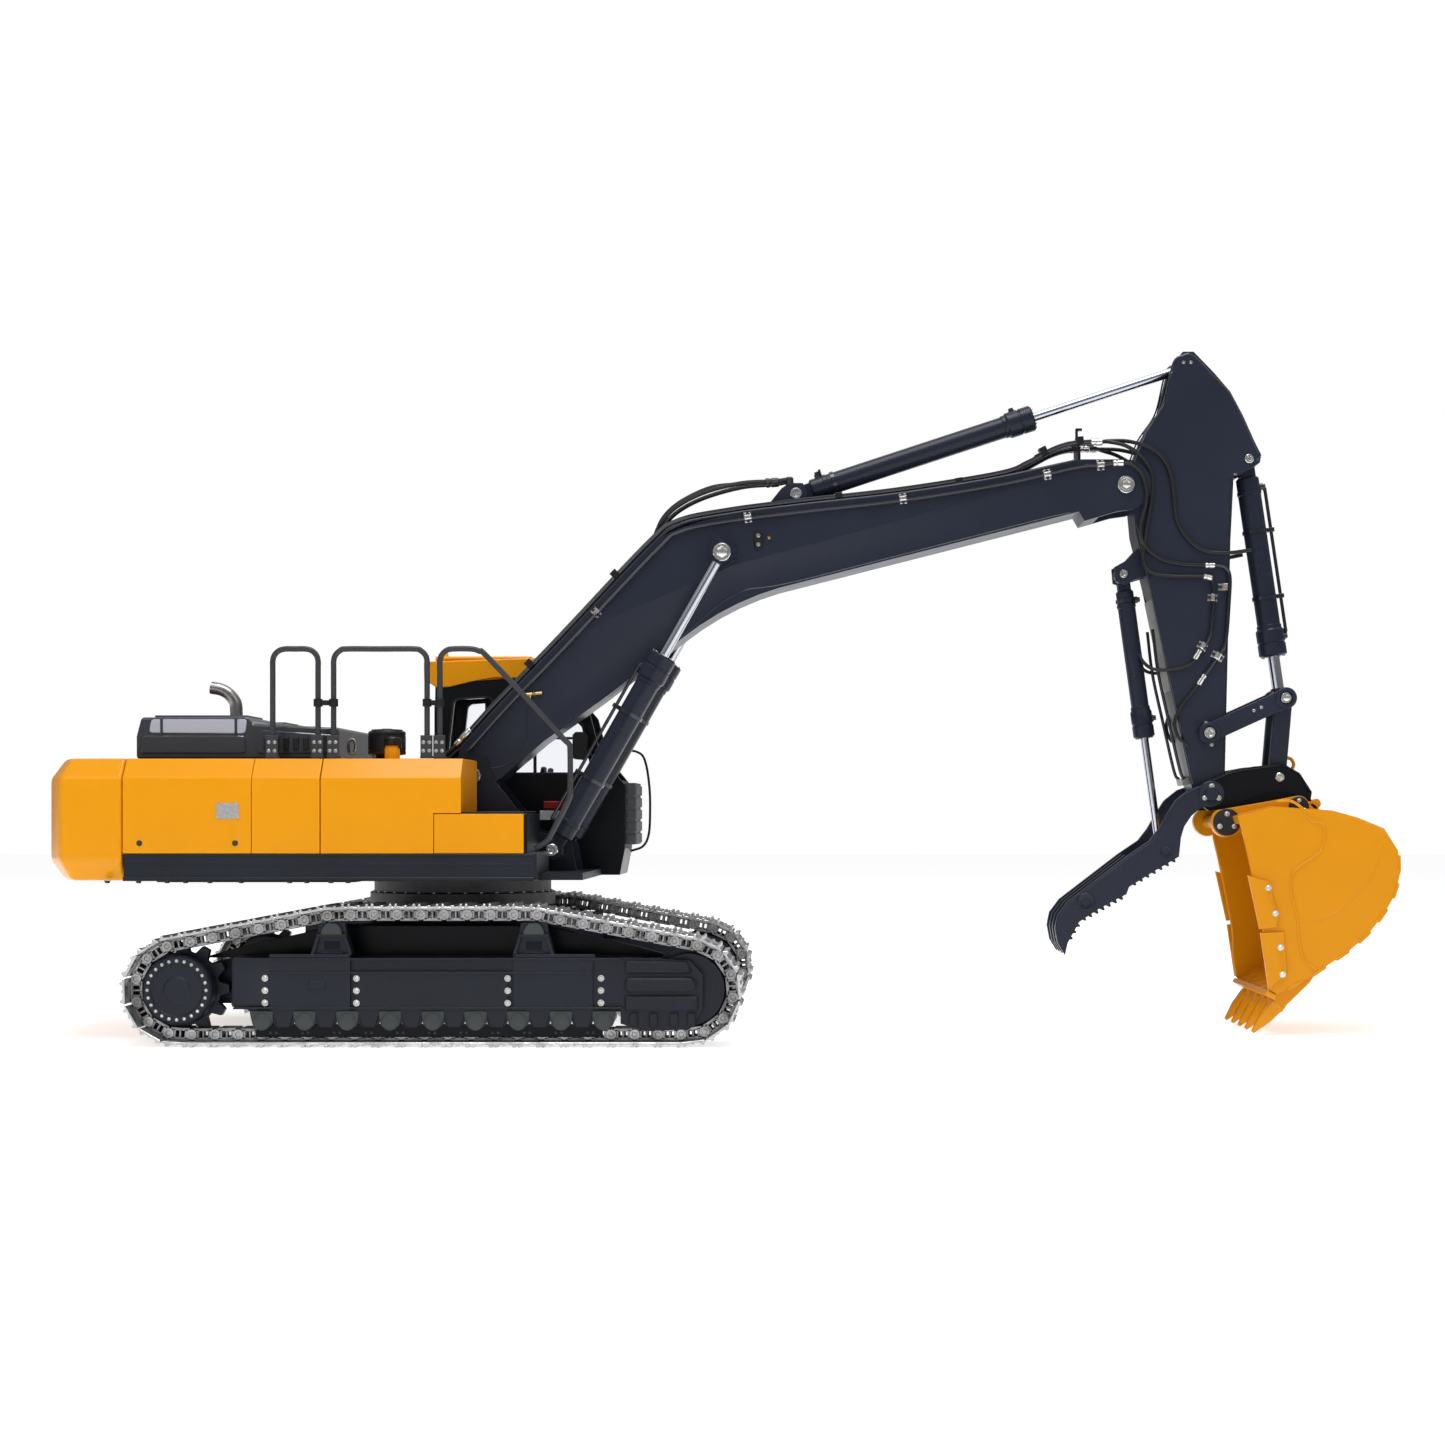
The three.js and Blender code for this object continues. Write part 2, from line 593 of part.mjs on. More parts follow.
function boomGeometry() {
  const shape = new THREE.Shape();
  shape.moveTo(-3, 192);
  shape.lineTo(1, 212);
  shape.lineTo(30.5, 245);
  shape.lineTo(75, 291);
  shape.lineTo(142, 362);
  shape.quadraticCurveTo(160, 381, 254, 393);
  shape.lineTo(329, 401.5);
  shape.lineTo(403, 413.5);
  shape.lineTo(459, 426);
  shape.lineTo(494, 426);
  shape.absarc(ARM_PIVOT[0], ARM_PIVOT[1], 19, Math.PI / 2, -Math.PI / 2, true);
  shape.lineTo(490, 387);
  shape.lineTo(466, 380);
  shape.lineTo(462, 387);
  shape.lineTo(421, 376.5);
  shape.lineTo(254, 334);
  shape.quadraticCurveTo(206, 324, 166, 292.5);
  shape.lineTo(106, 246.5);
  shape.lineTo(62, 215);
  shape.lineTo(22, 181);
  shape.absarc(BOOM_FOOT[0], BOOM_FOOT[1], 14, -0.7, -Math.PI, true);
  const lug = polygon([[224, 386], [240, 406], [246, 410], [256, 410], [259, 404], [260, 390]]);
  const body = join(
    plate(shape, -BOOM_HALF, BOOM_HALF),
    plate(lug, 6, 10),
    plate(lug, -10, -6),
    disc(ARM_BARREL_PIN, PIN, -10, 10),
    disc(BOOM_ROD_PIN, 10, -BOOM_CYLINDER_Y + 5, BOOM_CYLINDER_Y - 5),
  );
  const forkSlot = box(477, 530, -ARM_HALF - 0.4, ARM_HALF + 0.4, 370, 440);
  return cut(body, forkSlot, disc(BOOM_FOOT, 6.3, -30, 30), disc(ARM_PIVOT, 6.3, -30, 30));
}

function armGeometry() {
  const shape = polygon([
    [540, 507], [533.5, 499.5], [525.5, 466], [512.5, 446], [503, 422], [487, 417], [485, 400], [492, 395],
    [503, 392], [505, 371], [515, 330.5], [517.5, 323], [526, 278], [547, 180], [553, 166.5], [565, 166.5],
    [571, 176], [574, 295.5], [575.5, 365], [578, 416], [584, 416], [597.5, 424], [598.5, 430], [593.5, 440],
    [585, 459], [575.5, 477], [563.5, 491], [548, 507],
  ]);
  const lug = polygon([[490, 347], [491, 336], [498, 333.5], [504, 337], [514, 340], [516, 356], [508, 362], [499, 352]]);
  const body = cut(
    plate(shape, -ARM_HALF, ARM_HALF),
    box(510, 580, -7, 7, 468, 520),
    box(575, 610, -7, 7, 405, 450),
    disc(ARM_PIVOT, 6.3, -30, 30),
    disc(TIP_PIN, 5.3, -30, 30),
    disc(ROCKER_PIN, 4.3, -30, 30),
  );
  return join(
    body,
    plate(lug, 5.6, 9.5),
    plate(lug, -9.5, -5.6),
    disc(THUMB_BARREL_PIN, PIN, -9.5, 9.5),
    disc(BUCKET_BARREL_PIN, PIN, -ARM_HALF, ARM_HALF),
  );
}

add('boom', boomGeometry(), FINISH.navy());
add('arm', armGeometry(), FINISH.navy());
add('boom_foot_pin', disc(BOOM_FOOT, 6, -28.5, 28.5), FINISH.steel());
add('arm_pivot_pin', disc(ARM_PIVOT, 6, -22.5, 22.5), FINISH.steel());

// ---------------------------------------------------------------- hydraulic cylinders

// Barrel and rod are drawn along +x from the barrel eye, then turned into place.
function barrelGeometry(c) {
  const half = Math.min(c.eyeHalf, c.radius - 1);
  const profile = [
    [c.rod + GAP, 15], [c.radius, 15], [c.radius, c.barrel - 14], [c.gland, c.barrel - 13],
    [c.gland, c.barrel], [c.rod + GAP, c.barrel], [c.rod + GAP, 15],
  ];
  const sleeve = new THREE.LatheGeometry(profile.map(([r, x]) => new THREE.Vector2(r, x)), 16);
  sleeve.rotateZ(-Math.PI / 2);
  const cap = new THREE.CylinderGeometry(c.radius, c.radius, 4, 16).rotateZ(-Math.PI / 2).translate(14, 0, 0);
  const neck = box(3, 13, -half, half, -0.75 * c.eye, 0.75 * c.eye);
  return cut(join(sleeve, cap, neck, disc([0, 0], c.eye, -half, half)), disc([0, 0], PIN_BORE, -20, 20, 12));
}

function rodGeometry(c, length) {
  const end = length - 2;
  const rod = new THREE.CylinderGeometry(c.rod, c.rod, end - c.rodStart, 12).rotateZ(-Math.PI / 2);
  rod.translate((end + c.rodStart) / 2, 0, 0);
  return join(rod, disc([length, 0], c.eye, -c.eyeHalf, c.eyeHalf, 12));
}

function addCylinder(name, c, from, to, y) {
  const angle = Math.atan2(to[1] - from[1], to[0] - from[0]);
  const length = Math.hypot(to[0] - from[0], to[1] - from[1]);
  const barrel = add(`${name}_barrel`, barrelGeometry(c), FINISH.navy());
  const rod = add(`${name}_rod`, rodGeometry(c, length), FINISH.chrome());
  for (const mesh of [barrel, rod]) {
    mesh.position.set(from[0], y, from[1]);
    mesh.rotation.y = -angle;
  }
}

addCylinder('boom_cylinder_right', BOOM_CYLINDER, BOOM_BARREL_PIN, BOOM_ROD_PIN, -BOOM_CYLINDER_Y);
addCylinder('boom_cylinder_left', BOOM_CYLINDER, BOOM_BARREL_PIN, BOOM_ROD_PIN, BOOM_CYLINDER_Y);
addCylinder('arm_cylinder', ARM_CYLINDER, ARM_BARREL_PIN, ARM_ROD_PIN, 0);
addCylinder('bucket_cylinder', BUCKET_CYLINDER, BUCKET_BARREL_PIN, ROCKER_END, 0);
addCylinder('thumb_cylinder', THUMB_CYLINDER, THUMB_BARREL_PIN, THUMB_ROD_PIN, 0);

// ---------------------------------------------------------------- bucket linkage

function mirrored(build) {
  return [build(-1), build(1)];
}

function rockerGeometry() {
  const middle = [ROCKER_PIN[0] + 36, ROCKER_PIN[1] + 16.5];
  return join(
    ...mirrored((side) => link(ROCKER_PIN, ROCKER_END, 7, ...layer(side, 18, 22.5))),
    disc(middle, 3.5, -19, 19, 10),
    disc(ROCKER_PIN, PIN, -22, 22),
  );
}

function hLinkGeometry() {
  const middle = [
    (ROCKER_END[0] + COUPLER_LINK_PIN[0]) / 2,
    (ROCKER_END[1] + COUPLER_LINK_PIN[1]) / 2 - 6,
  ];
  return join(
    ...mirrored((side) => link(ROCKER_END, COUPLER_LINK_PIN, 6.5, ...layer(side, 9, 15))),
    disc(middle, 3.5, -12, 12, 10),
  );
}

function couplerGeometry() {
  const outline = polygon([
    [549, 171], [552, 184], [562, 188], [575.5, 194], [592, 197], [614, 199], [626, 192], [635, 178],
    [634, 172], [622, 176], [606, 178], [584, 171], [578, 164], [568, 165], [558, 164],
  ]);
  const [near, far] = COUPLER_LAYER;
  const body = join(
    ...mirrored((side) => plate(outline, ...layer(side, near, far))),
    box(578, 628, -near - 1, near + 1, 177, 181),
  );
  return cut(body, disc(TIP_PIN, 5.3, -40, 40));
}

function thumbGeometry() {
  const outline = polygon([
    [559, 185.5], [543, 180], [533, 172], [526.5, 162], [520, 150.5], [513, 141.5], [497.5, 131], [466, 107],
    [452.5, 96.5], [445, 86.5], [443, 77], [445, 66], [450.5, 57], [452.5, 66], [461, 81.5], [474.5, 90.5],
    [489, 98.5], [496, 102], [498, 107.5], [518, 120], [535, 130], [536.5, 144.5], [539, 152.5],
    [544, 160], [551, 166], [559, 167.5], [568, 173], [568, 180],
  ]);
  const finger = polygon([
    [497.5, 131], [466, 107], [452.5, 96.5], [445, 86.5], [443, 77], [445, 66], [450.5, 57], [452.5, 66],
    [461, 81.5], [474.5, 90.5], [489, 98.5], [496, 102], [505, 114],
  ]);
  const [near, far] = THUMB_LAYER;
  const body = join(
    ...mirrored((side) => plate(outline, ...layer(side, near, far))),
    ...mirrored((side) => plate(finger, ...layer(side, 7, 12))),
    disc([466, 96.5], 3.8, -near - 1, near + 1, 10),
    disc([492, 116], 5, -near - 1, near + 1, 10),
    box(508, 516, -near - 1, near + 1, 124, 130),
  );
  return cut(body, disc(TIP_PIN, 5.3, -40, 40));
}

add('rocker_link', rockerGeometry(), FINISH.navy());
add('h_link', hLinkGeometry(), FINISH.navy());
add('quick_coupler', couplerGeometry(), FINISH.black());
add('thumb', thumbGeometry(), FINISH.navy());
add('arm_tip_pin', disc(TIP_PIN, 5, -33, 33), FINISH.steel());

// ---------------------------------------------------------------- bucket

function bucketGeometry() {
  const outer = polygon([
    [577, 142.5], [572, 160], [600, 167], [641, 164], [659, 159], [678.5, 151], [688.5, 135], [690.5, 120],
    [686.5, 103], [678.5, 89], [668.5, 76], [655, 63.5], [628, 45], [600.5, 30.5], [595, 34], [592.5, 53],
    [592, 71.5], [583.5, 116],
  ]);
  const room = polygon([
    [550, 148], [580, 156], [600, 160], [640, 160], [657, 155], [675, 148], [684.5, 134], [686.5, 120],
    [683, 105], [675.5, 92], [665.5, 79.5], [652.5, 67], [626, 49.5], [603, 36.5], [580, 24], [550, 60],
  ]);
  const ear = new THREE.Shape();
  ear.absarc(BUCKET_FRONT_EYE[0], BUCKET_FRONT_EYE[1], 11, 2.2, 4.8, false);
  ear.lineTo(600, 158);
  ear.lineTo(640, 160);
  ear.lineTo(634, 168);
  ear.lineTo(629, 171);
  ear.absarc(BUCKET_REAR_EYE[0], BUCKET_REAR_EYE[1], 8, 0.4, Math.PI - 1.2, false);
  ear.lineTo(600, 171);
  const wide = BUCKET_HALF - 3;
  const body = cut(plate(outer, -BUCKET_HALF, BUCKET_HALF), plate(room, -wide, wide));
  return join(
    body,
    ...mirrored((side) => plate(ear, ...layer(side, 34, 42))),
    disc(BUCKET_FRONT_EYE, 4.5, -35, 35, 12),
    disc(BUCKET_REAR_EYE, 3.6, -35, 35, 12),
  );
}

function cuttingEdgeGeometry() {
  const blade = polygon([[599.5, 29.5], [594, 33], [590.5, 27.5], [597, 24]]);
  const tooth = polygon([[585, 1.5], [590, 26.5], [593, 32.4], [600, 28.8], [607, 20]]);
  const parts = [plate(blade, -BUCKET_HALF, BUCKET_HALF)];
  for (let i = -2; i <= 2; i += 1) {
    parts.push(plate(tooth, i * 26 - 5.5, i * 26 + 5.5));
  }
  return join(...parts);
}

add('bucket', bucketGeometry(), FINISH.bucketYellow());
add('bucket_teeth', cuttingEdgeGeometry(), FINISH.bucketYellow());

export default machine;
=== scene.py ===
"""Looks of the radio-controlled excavator: studio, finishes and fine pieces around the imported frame."""

import json
from math import pi, radians

import bmesh
import bpy
import numpy as np
from bpy.props import FloatProperty, FloatVectorProperty, PointerProperty
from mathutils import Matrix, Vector


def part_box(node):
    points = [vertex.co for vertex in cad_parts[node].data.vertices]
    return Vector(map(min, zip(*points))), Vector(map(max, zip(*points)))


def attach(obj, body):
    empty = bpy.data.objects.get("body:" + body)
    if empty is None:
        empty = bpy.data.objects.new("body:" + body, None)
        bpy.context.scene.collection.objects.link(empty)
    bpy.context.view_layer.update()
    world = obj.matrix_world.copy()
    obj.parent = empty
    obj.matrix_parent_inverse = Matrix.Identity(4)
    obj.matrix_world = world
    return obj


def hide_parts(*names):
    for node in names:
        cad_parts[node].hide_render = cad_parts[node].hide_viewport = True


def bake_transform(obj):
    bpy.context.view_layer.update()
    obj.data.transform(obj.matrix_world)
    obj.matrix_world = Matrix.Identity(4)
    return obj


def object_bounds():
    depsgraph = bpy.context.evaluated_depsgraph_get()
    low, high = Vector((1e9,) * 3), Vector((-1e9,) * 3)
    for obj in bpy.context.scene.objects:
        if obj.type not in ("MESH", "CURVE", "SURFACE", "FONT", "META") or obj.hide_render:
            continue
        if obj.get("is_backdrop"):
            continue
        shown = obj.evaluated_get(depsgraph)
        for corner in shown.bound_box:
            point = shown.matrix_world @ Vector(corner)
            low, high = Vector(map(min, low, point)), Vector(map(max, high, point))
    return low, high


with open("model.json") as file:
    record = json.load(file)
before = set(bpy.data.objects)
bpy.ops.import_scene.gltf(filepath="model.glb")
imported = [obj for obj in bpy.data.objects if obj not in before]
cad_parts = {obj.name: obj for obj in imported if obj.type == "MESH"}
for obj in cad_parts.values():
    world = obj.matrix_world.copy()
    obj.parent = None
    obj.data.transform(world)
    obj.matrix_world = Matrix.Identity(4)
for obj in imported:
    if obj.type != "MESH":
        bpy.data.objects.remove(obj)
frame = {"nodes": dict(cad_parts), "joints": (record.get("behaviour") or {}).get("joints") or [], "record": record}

bl_info = {
    "name": "RC Excavator Dresser",
    "version": (1, 0, 0),
    "blender": (4, 5, 0),
    "location": "View3D > Sidebar > Excavator",
    "description": "Builds the finishes and fine pieces of a radio-controlled excavator",
    "category": "Object",
}

CAD_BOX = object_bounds()
BODY_OF = {node: body for body, nodes in frame["record"]["behaviour"]["bodies"].items() for node in nodes}
PIVOTS = {joint["name"]: np.array(joint.get("pos_m", (0, 0, 0))) for joint in frame["joints"]}
AXIS_X = PIVOTS["slew"][0]
SIDES = (("right", -1), ("left", 1))
MM = 0.001                                # millimetres to metres of the frame


def at(points):
    """Millimetres from the slew axis and the ground, turned into metres of the frame."""
    return np.asarray(points, float) * MM + np.array((AXIS_X, 0, 0))


# ---------------------------------------------------------------- user's settings


class ExcavatorSizes(bpy.types.PropertyGroup):
    """Sizes of the fine pieces."""

    edge: FloatProperty(name="Edge", description="Width of the broken edges", default=0.0006, unit="LENGTH")
    rail: FloatProperty(name="Rail", description="Radius of a handrail bar", default=0.002, unit="LENGTH")
    pin_radius: FloatProperty(name="Pin circle", description="Radius of the chain pins round the sprocket",
                              default=0.0313, unit="LENGTH")


def colour(label, text, value):
    return FloatVectorProperty(name=label, description=text, default=value, size=3, subtype="COLOR", min=0, max=1)


class ExcavatorColours(bpy.types.PropertyGroup):
    """Colours of the finishes."""

    yellow: colour("Yellow", "Paint of the house panels", (0.79, 0.31, 0.001))
    bucket: colour("Bucket", "Paint of the bucket", (0.68, 0.265, 0.001))
    navy: colour("Navy", "Paint of the boom and the undercarriage", (0.0125, 0.0165, 0.031))
    black: colour("Black", "Paint of the cab and the coupler", (0.0048, 0.0056, 0.0085))
    hood: colour("Hood", "Gloss of the engine hood", (0.036, 0.041, 0.05))
    steel: colour("Steel", "Plated steel of the tracks", (0.6, 0.6, 0.61))


def sizes():
    return bpy.context.scene.excavator_sizes


def colours():
    return bpy.context.scene.excavator_colours


# ---------------------------------------------------------------- surfaces


def strip(rows, cols, close_rows=False, close_cols=True):
    """Quads of a grid of points: rows follow the path and cols go round the section."""
    row = np.arange(rows if close_rows else rows - 1)
    col = np.arange(cols if close_cols else cols - 1)
    row, col = np.meshgrid(row, col, indexing="ij")
    below, across = (row + 1) % rows, (col + 1) % cols
    quads = [row * cols + col, row * cols + across, below * cols + across, below * cols + col]
    return np.stack(quads, -1).reshape(-1, 4)


def revolve(profile, sides=16):
    """A profile of (radius, height) turned about z: (r cos a, r sin a, h)."""
    profile = np.asarray(profile, float)
    angle = np.arange(sides) * 2 * pi / sides
    r, h = profile[:, :1], profile[:, 1:]
    points = np.stack([r * np.cos(angle), r * np.sin(angle), h + 0 * angle], -1)
    return points.reshape(-1, 3), [strip(len(profile), sides)]


def inset(outline, by):
    """Every corner moved inwards along its mitre by the same distance from both of its edges."""
    outline = np.asarray(outline, float)
    edge = np.roll(outline, -1, 0) - outline
    edge /= np.linalg.norm(edge, axis=1)[:, None]
    normal = np.stack([-edge[:, 1], edge[:, 0]], 1)
    before = np.roll(normal, 1, 0)
    twice_area = np.sum(outline[:, 0] * np.roll(outline[:, 1], -1) - outline[:, 1] * np.roll(outline[:, 0], -1))
    mitre = (normal + before) / np.maximum(1 + np.sum(normal * before, 1), 0.3)[:, None]
    return outline + np.sign(twice_area) * by * mitre


def slab(outline, low, high, edge=0.0004):
    """An x-z outline carried along y through four rings, the outer two drawn in by the broken edge."""
    outline = np.asarray(outline, float)
    rings = [(edge, low), (0, low + edge), (0, high - edge), (edge, high)]
    points = []
    for drawn_in, y in rings:
        flat = inset(outline, drawn_in)
        points.append(np.stack([flat[:, 0], np.full(len(flat), y), flat[:, 1]], 1))
    count = len(outline)
    caps = [np.arange(count)[None, :], (3 * count + np.arange(count))[None, :]]
    return np.concatenate(points), [strip(4, count)] + caps


def spline(points, count):
    """Catmull-Rom curve through the points, evenly stepped in its parameter."""
    p = np.asarray(points, float)
    p = np.concatenate([2 * p[:1] - p[1:2], p, 2 * p[-1:] - p[-2:-1]])
    u = np.linspace(0, len(p) - 3 - 1e-9, count)
    i = u.astype(int)
    t = (u - i)[:, None]
    a, b, c, d = p[i], p[i + 1], p[i + 2], p[i + 3]
    return 0.5 * (2 * b + (c - a) * t + (2 * a - 5 * b + 4 * c - d) * t**2 + (3 * b - a - 3 * c + d) * t**3)


def frames(path):
    """Along a path: the tangent and two directions square to it, turned as little as possible."""
    tangent = np.gradient(path, axis=0)
    tangent /= np.linalg.norm(tangent, axis=1)[:, None]
    side = np.empty_like(tangent)
    reference = np.eye(3)[np.argmin(np.abs(tangent[0]))]
    for i, t in enumerate(tangent):
        reference = reference - t * (reference @ t)
        reference = reference / np.linalg.norm(reference)
        side[i] = reference
    return tangent, side, np.cross(tangent, side)


def tube(path, radius, sides=10):
    """A circle carried along a path: p + r (cos a s + sin a n), with closed ends."""
    path = np.asarray(path, float)
    _, side, normal = frames(path)
    angle = np.arange(sides) * 2 * pi / sides
    ring = np.cos(angle)[None, :, None] * side[:, None] + np.sin(angle)[None, :, None] * normal[:, None]
    r = np.broadcast_to(np.asarray(radius, float), len(path))[:, None, None]
    points = (path[:, None] + r * ring).reshape(-1, 3)
    last = (len(path) - 1) * sides
    caps = [np.arange(sides)[None, :], (last + np.arange(sides))[None, :]]
    return points, [strip(len(path), sides)] + caps


def seat(part, origin, axis):
    """A part drawn about +z moved to an origin with its z along the axis."""
    points, faces = part
    z = np.asarray(axis, float) / np.linalg.norm(axis)
    x = np.cross((0, 1, 0) if abs(z[1]) < 0.9 else (1, 0, 0), z)
    x /= np.linalg.norm(x)
    return points @ np.stack([x, np.cross(z, x), z]) + np.asarray(origin, float), faces


def arc(centre, radius, start, end, count=8):
    """Points of a circle arc, angles in degrees."""
    angle = np.radians(np.linspace(start, end, count))
    return np.stack([centre[0] + radius * np.cos(angle), centre[1] + radius * np.sin(angle)], 1)


def rounded(outline, radius, steps=4):
    """An outline whose corners are replaced by short quadratic curves of the given reach."""
    p = np.asarray(outline, float)
    before, after = np.roll(p, 1, 0) - p, np.roll(p, -1, 0) - p
    reach = np.minimum(radius, 0.45 * np.minimum(np.linalg.norm(before, axis=1), np.linalg.norm(after, axis=1)))
    a = p + before / np.linalg.norm(before, axis=1)[:, None] * reach[:, None]
    b = p + after / np.linalg.norm(after, axis=1)[:, None] * reach[:, None]
    t = np.linspace(0, 1, steps)[None, :, None]
    curve = (1 - t) ** 2 * a[:, None] + 2 * t * (1 - t) * p[:, None] + t**2 * b[:, None]
    return curve.reshape(-1, 2)


def bolt(radius, height=None):
    """A hexagon head on a round washer, drawn about +z."""
    height = height or radius * 0.9
    head = revolve([(0, height), (0.8 * radius, height), (radius, 0.8 * height), (radius, 0), (0, 0)], 6)
    washer = revolve([(0, 0.2 * height), (1.35 * radius, 0.2 * height), (1.35 * radius, -0.0002), (0, -0.0002)], 12)
    return gather([head, washer])


def gather(parts):
    """Several parts as one: their points end to end and their faces renumbered."""
    start, points, faces = 0, [], []
    for own_points, own_faces in parts:
        points.append(own_points)
        faces += [face + start for face in own_faces]
        start += len(own_points)
    return np.concatenate(points), faces


def copies(part, origins, axis):
    """The part seated at each origin along the same axis."""
    return [seat(part, origin, axis) for origin in origins]


def build(name, parts, finish, body, stands_for=(), soft_angle=35, bevel=0.0):
    """Makes one object of the parts: doubles merged, faces outwards, edges over the angle kept sharp."""
    points, faces = gather(parts)
    mesh = bpy.data.meshes.new(name)
    mesh.from_pydata(points.tolist(), [], [face for group in faces for face in group.tolist()])
    bm = bmesh.new()
    bm.from_mesh(mesh)
    bmesh.ops.remove_doubles(bm, verts=bm.verts, dist=1e-7)
    bmesh.ops.recalc_face_normals(bm, faces=bm.faces)
    bm.to_mesh(mesh)
    bm.free()
    return finish_object(name, mesh, finish, body, stands_for, soft_angle, bevel)


def finish_object(name, mesh, finish, body, stands_for, soft_angle, bevel):
    mesh.polygons.foreach_set("use_smooth", np.ones(len(mesh.polygons), bool))
    mesh.set_sharp_from_angle(angle=radians(soft_angle))
    mesh.materials.clear()
    mesh.materials.append(bpy.data.materials[finish])
    piece = bpy.data.objects.new(name, mesh)
    bpy.context.scene.collection.objects.link(piece)
    if bevel:
        worked = piece.modifiers.new("Edges", "BEVEL")
        worked.width = bevel
        worked.segments = 2
        worked.limit_method = "ANGLE"
        worked.angle_limit = radians(28)
        worked.harden_normals = True
    if body:
        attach(piece, body)
    if stands_for:
        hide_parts(*stands_for)
    return piece


def dress(node, finish, bevel=None, soft_angle=28):
    """A merged copy of a frame node with its flat faces joined and its edges broken."""
    mesh = frame["nodes"][node].data.copy()
    bm = bmesh.new()
    bm.from_mesh(mesh)
    bmesh.ops.remove_doubles(bm, verts=bm.verts, dist=2e-6)
    bmesh.ops.dissolve_limit(bm, angle_limit=radians(0.6), verts=bm.verts, edges=bm.edges)
    bm.to_mesh(mesh)
    bm.free()
    width = sizes().edge if bevel is None else bevel
    return finish_object(f"{node}_shape", mesh, finish, BODY_OF[node], (node,), soft_angle, width)


# ---------------------------------------------------------------- finishes


def new_group(name, inputs, outputs):
    group = bpy.data.node_groups.new(name, "ShaderNodeTree")
    for label, kind, default in inputs:
        socket = group.interface.new_socket(name=label, in_out="INPUT", socket_type=f"NodeSocket{kind}")
        socket.default_value = default
    for label, kind in outputs:
        group.interface.new_socket(name=label, in_out="OUTPUT", socket_type=f"NodeSocket{kind}")
    return group, group.nodes.new("NodeGroupInput"), group.nodes.new("NodeGroupOutput")


class Wires:
    """Short words for adding and joining nodes in one tree."""

    def __init__(self, tree):
        self.tree = tree

    def node(self, kind, **settings):
        made = self.tree.nodes.new(f"ShaderNode{kind}")
        for key, value in settings.items():
            setattr(made, key, value)
        return made

    def join(self, source, target):
        self.tree.links.new(source, target)

    def value(self, socket, source):
        if isinstance(source, (int, float, tuple)):
            socket.default_value = source
        else:
            self.join(source, socket)

    def maths(self, operation, a, b=0.0):
        made = self.node("Math", operation=operation)
        self.value(made.inputs[0], a)
        self.value(made.inputs[1], b)
        return made.outputs[0]

    def noise(self, vector, scale, detail=3.0, roughness=0.5):
        made = self.node("TexNoise")
        self.join(vector, made.inputs["Vector"])
        self.value(made.inputs["Scale"], scale)
        made.inputs["Detail"].default_value = detail
        made.inputs["Roughness"].default_value = roughness
        return made.outputs["Fac"]

    def ramp(self, source, low, high, out_low=0.0, out_high=1.0):
        made = self.node("MapRange", clamp=True)
        self.join(source, made.inputs[0])
        for i, number in enumerate((low, high, out_low, out_high)):
            self.value(made.inputs[i + 1], number)
        return made.outputs[0]

    def blend(self, mask, a, b):
        made = self.node("Mix", data_type="RGBA")
        self.value(made.inputs["Factor"], mask)
        self.value(made.inputs[6], a)
        self.value(made.inputs[7], b)
        return made.outputs[2]


def make_paint_group():
    """Sprayed paint: slow drift of brightness, a fine orange peel for the bump and faint dust on top faces."""
    group, inlet, outlet = new_group("Sprayed paint", [("Colour", "Color", (0.8, 0.8, 0.8, 1)),
                                                       ("Dust", "Color", (0.5, 0.47, 0.42, 1)),
                                                       ("Dust amount", "Float", 0.1), ("Drift", "Float", 0.06),
                                                       ("Gloss roughness", "Float", 0.25)],
                                     [("Colour", "Color"), ("Roughness", "Float"), ("Peel", "Float")])
    w = Wires(group)
    place = w.node("TexCoord").outputs["Object"]
    drift = w.ramp(w.noise(place, 14, 2), 0.3, 0.7, -1.0, 1.0)
    drift = w.maths("MULTIPLY", drift, inlet.outputs["Drift"])
    shaded = w.node("HueSaturation")
    w.join(inlet.outputs["Colour"], shaded.inputs["Color"])
    w.join(w.maths("ADD", drift, 1.0), shaded.inputs["Value"])
    up = w.node("SeparateXYZ")
    w.join(w.node("NewGeometry").outputs["Normal"], up.inputs[0])
    lying = w.ramp(up.outputs["Z"], 0.3, 0.95)
    grains = w.ramp(w.noise(place, 210, 5, 0.7), 0.42, 0.75)
    mask = w.maths("MULTIPLY", w.maths("MULTIPLY", lying, grains), inlet.outputs["Dust amount"])
    w.join(w.blend(mask, shaded.outputs[0], inlet.outputs["Dust"]), outlet.inputs["Colour"])
    smear = w.ramp(w.noise(place, 60, 4, 0.6), 0.35, 0.7, -0.015, 0.025)
    rough = w.maths("ADD", w.maths("ADD", smear, inlet.outputs["Gloss roughness"]), w.maths("MULTIPLY", mask, 0.6))
    w.join(rough, outlet.inputs["Roughness"])
    w.join(w.noise(place, 900, 2), outlet.inputs["Peel"])
    return group


